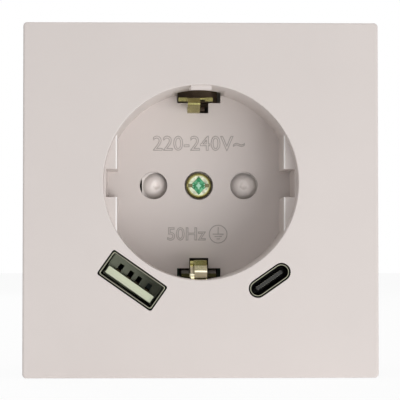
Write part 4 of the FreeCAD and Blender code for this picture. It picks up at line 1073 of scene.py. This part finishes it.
class SOCKET_OT_contacts(bpy.types.Operator):
    """Dress the carrier, the line and neutral contacts and the clamp springs"""

    bl_idname = "socket.contacts"
    bl_label = "Contacts"

    def execute(self, context):
        show("contact_carrier", painted("insulator", moulded, finishes().insulator, 0.5))
        for node in ("line_contact", "neutral_contact"):
            show(node, contact_brass())
        for terminal in ("line", "neutral", "earth"):
            show(f"{terminal}_clamp_spring", spring_steel())
        return {"FINISHED"}


class SOCKET_OT_electronics(bpy.types.Operator):
    """Dress the boards and what stands on them"""

    bl_idname = "socket.electronics"
    bl_label = "Electronics"

    def execute(self, context):
        board = painted("solder_mask", circuit_board, (*finishes().mask, 1), TINNED)
        for node in ("port_board", "power_board"):
            show(node, board)
        show("board_header", painted("header_black", moulded, HEADER_BLACK, 0.5))
        show("transformer_core", painted("ferrite", moulded, FERRITE, 0.6, 0.0004, 0.00003))
        show("transformer_coil", painted("winding_tape", wound_tape, TAPE))
        can = painted(
            "capacitor_sleeve", sleeved_can, SLEEVE, ALUMINIUM, STRIPE_FROM, SLEEVE_END
        )
        epoxy = painted("chip_epoxy", moulded, EPOXY, 0.55, 0.0003, 0.00001)
        for side in ("input", "output"):
            show(f"{side}_capacitor", can)
        for node in ("controller_chip", "bridge_rectifier"):
            show(node, epoxy)
        show("fuse", painted("fuse_caps", sheet_metal, FUSE_CAP, 0.2, FUSE_TARNISH))
        return {"FINISHED"}


class SOCKET_OT_stage(bpy.types.Operator):
    """Add the floor, the lamps and the camera"""

    bl_idname = "socket.stage"
    bl_label = "Stage"

    def execute(self, context):
        scene = context.scene
        settings = scene.socket_stage
        low = CAD_BOX[0]
        bpy.ops.object.select_all(action="DESELECT")
        bpy.ops.mesh.primitive_plane_add(size=FLOOR_SIDE, location=(0.0, 0.0, low.z - FLOOR_DROP))
        floor = context.active_object
        floor.name = "floor"
        finish = Finish("floor_paint")
        finish.set(Base_Color=FLOOR_WHITE, Roughness=0.9)
        paths = finish.seen_rays()
        glow = finish.node("Emission", None, {"Color": WHITE, "Strength": 1.0})
        shader = Field(finish, finish.shader.outputs[0])
        mixed = finish.node("MixShader", None, {0: paths * FLOOR_GLOW, 1: shader, 2: glow})
        finish.feed(finish.tree.nodes["Material Output"].inputs["Surface"], mixed)
        floor.data.materials.append(finish.material)
        floor.visible_shadow = False

        world = bpy.data.worlds.new("studio")
        world.use_nodes = True
        scene.world = world
        sky = Tree(world.node_tree)
        back = sky.tree.nodes["Background"]
        sky.feed(back.inputs["Color"], WHITE)
        strength = sky.seen_rays() * (1.0 - settings.sky) + settings.sky
        sky.feed(back.inputs["Strength"], strength)

        for name, place, side, setting, share in LAMPS:
            self.lamp(name, place, side, share * getattr(settings, setting))

        camera = bpy.data.objects.new("camera", bpy.data.cameras.new("camera"))
        scene.collection.objects.link(camera)
        camera.location = Vector((CAMERA_SIDE, low.y - settings.distance, CAMERA_HEIGHT))
        aim = Vector((AIM_SIDE, low.y, AIM_HEIGHT)) - camera.location
        camera.rotation_euler = aim.to_track_quat("-Z", "Y").to_euler()
        camera.data.lens = settings.lens
        camera.data.sensor_width = SENSOR_WIDTH
        camera.data.clip_start = NEAREST
        scene.camera = camera
        scene.view_settings.view_transform = "Standard"
        return {"FINISHED"}

    def lamp(self, name, place, size, power):
        """A square lamp that points at the middle of the object."""
        light = bpy.data.lights.new(name, "AREA")
        light.size = size
        light.energy = power
        lamp = bpy.data.objects.new(name, light)
        bpy.context.scene.collection.objects.link(lamp)
        lamp.location = place
        lamp.rotation_euler = (-Vector(place)).to_track_quat("-Z", "Y").to_euler()


class SOCKET_PT_panel(bpy.types.Panel):
    """The sidebar's list of steps"""

    bl_idname = "SOCKET_PT_panel"
    bl_label = "Wall Socket"
    bl_space_type = "VIEW_3D"
    bl_region_type = "UI"
    bl_category = "Socket"

    def draw(self, context):
        scene = context.scene
        for group in (scene.socket_finishes, scene.socket_details, scene.socket_stage):
            for name in group.__annotations__:
                self.layout.prop(group, name)
        for step in STEPS:
            self.layout.operator(step.bl_idname)


STEPS = (
    SOCKET_OT_cover,
    SOCKET_OT_shutter,
    SOCKET_OT_screw,
    SOCKET_OT_earth,
    SOCKET_OT_wide_port,
    SOCKET_OT_small_port,
    SOCKET_OT_ring,
    SOCKET_OT_housing,
    SOCKET_OT_contacts,
    SOCKET_OT_electronics,
    SOCKET_OT_stage,
)
GROUPS = {
    "socket_finishes": SocketFinishes,
    "socket_details": SocketDetails,
    "socket_stage": SocketStage,
}


def register():
    """Register the classes and hang the settings on the scene."""
    for kind in (*GROUPS.values(), *STEPS, SOCKET_PT_panel):
        bpy.utils.register_class(kind)
    for name, kind in GROUPS.items():
        setattr(bpy.types.Scene, name, bpy.props.PointerProperty(type=kind))


def unregister():
    """Undo what register did."""
    for name in GROUPS:
        delattr(bpy.types.Scene, name)
    for kind in (SOCKET_PT_panel, *reversed(STEPS), *GROUPS.values()):
        bpy.utils.unregister_class(kind)


def main():
    """Run every step."""
    register()
    for step in STEPS:
        family, name = step.bl_idname.split(".")
        getattr(getattr(bpy.ops, family), name)()


if __name__ == "__main__":
    main()
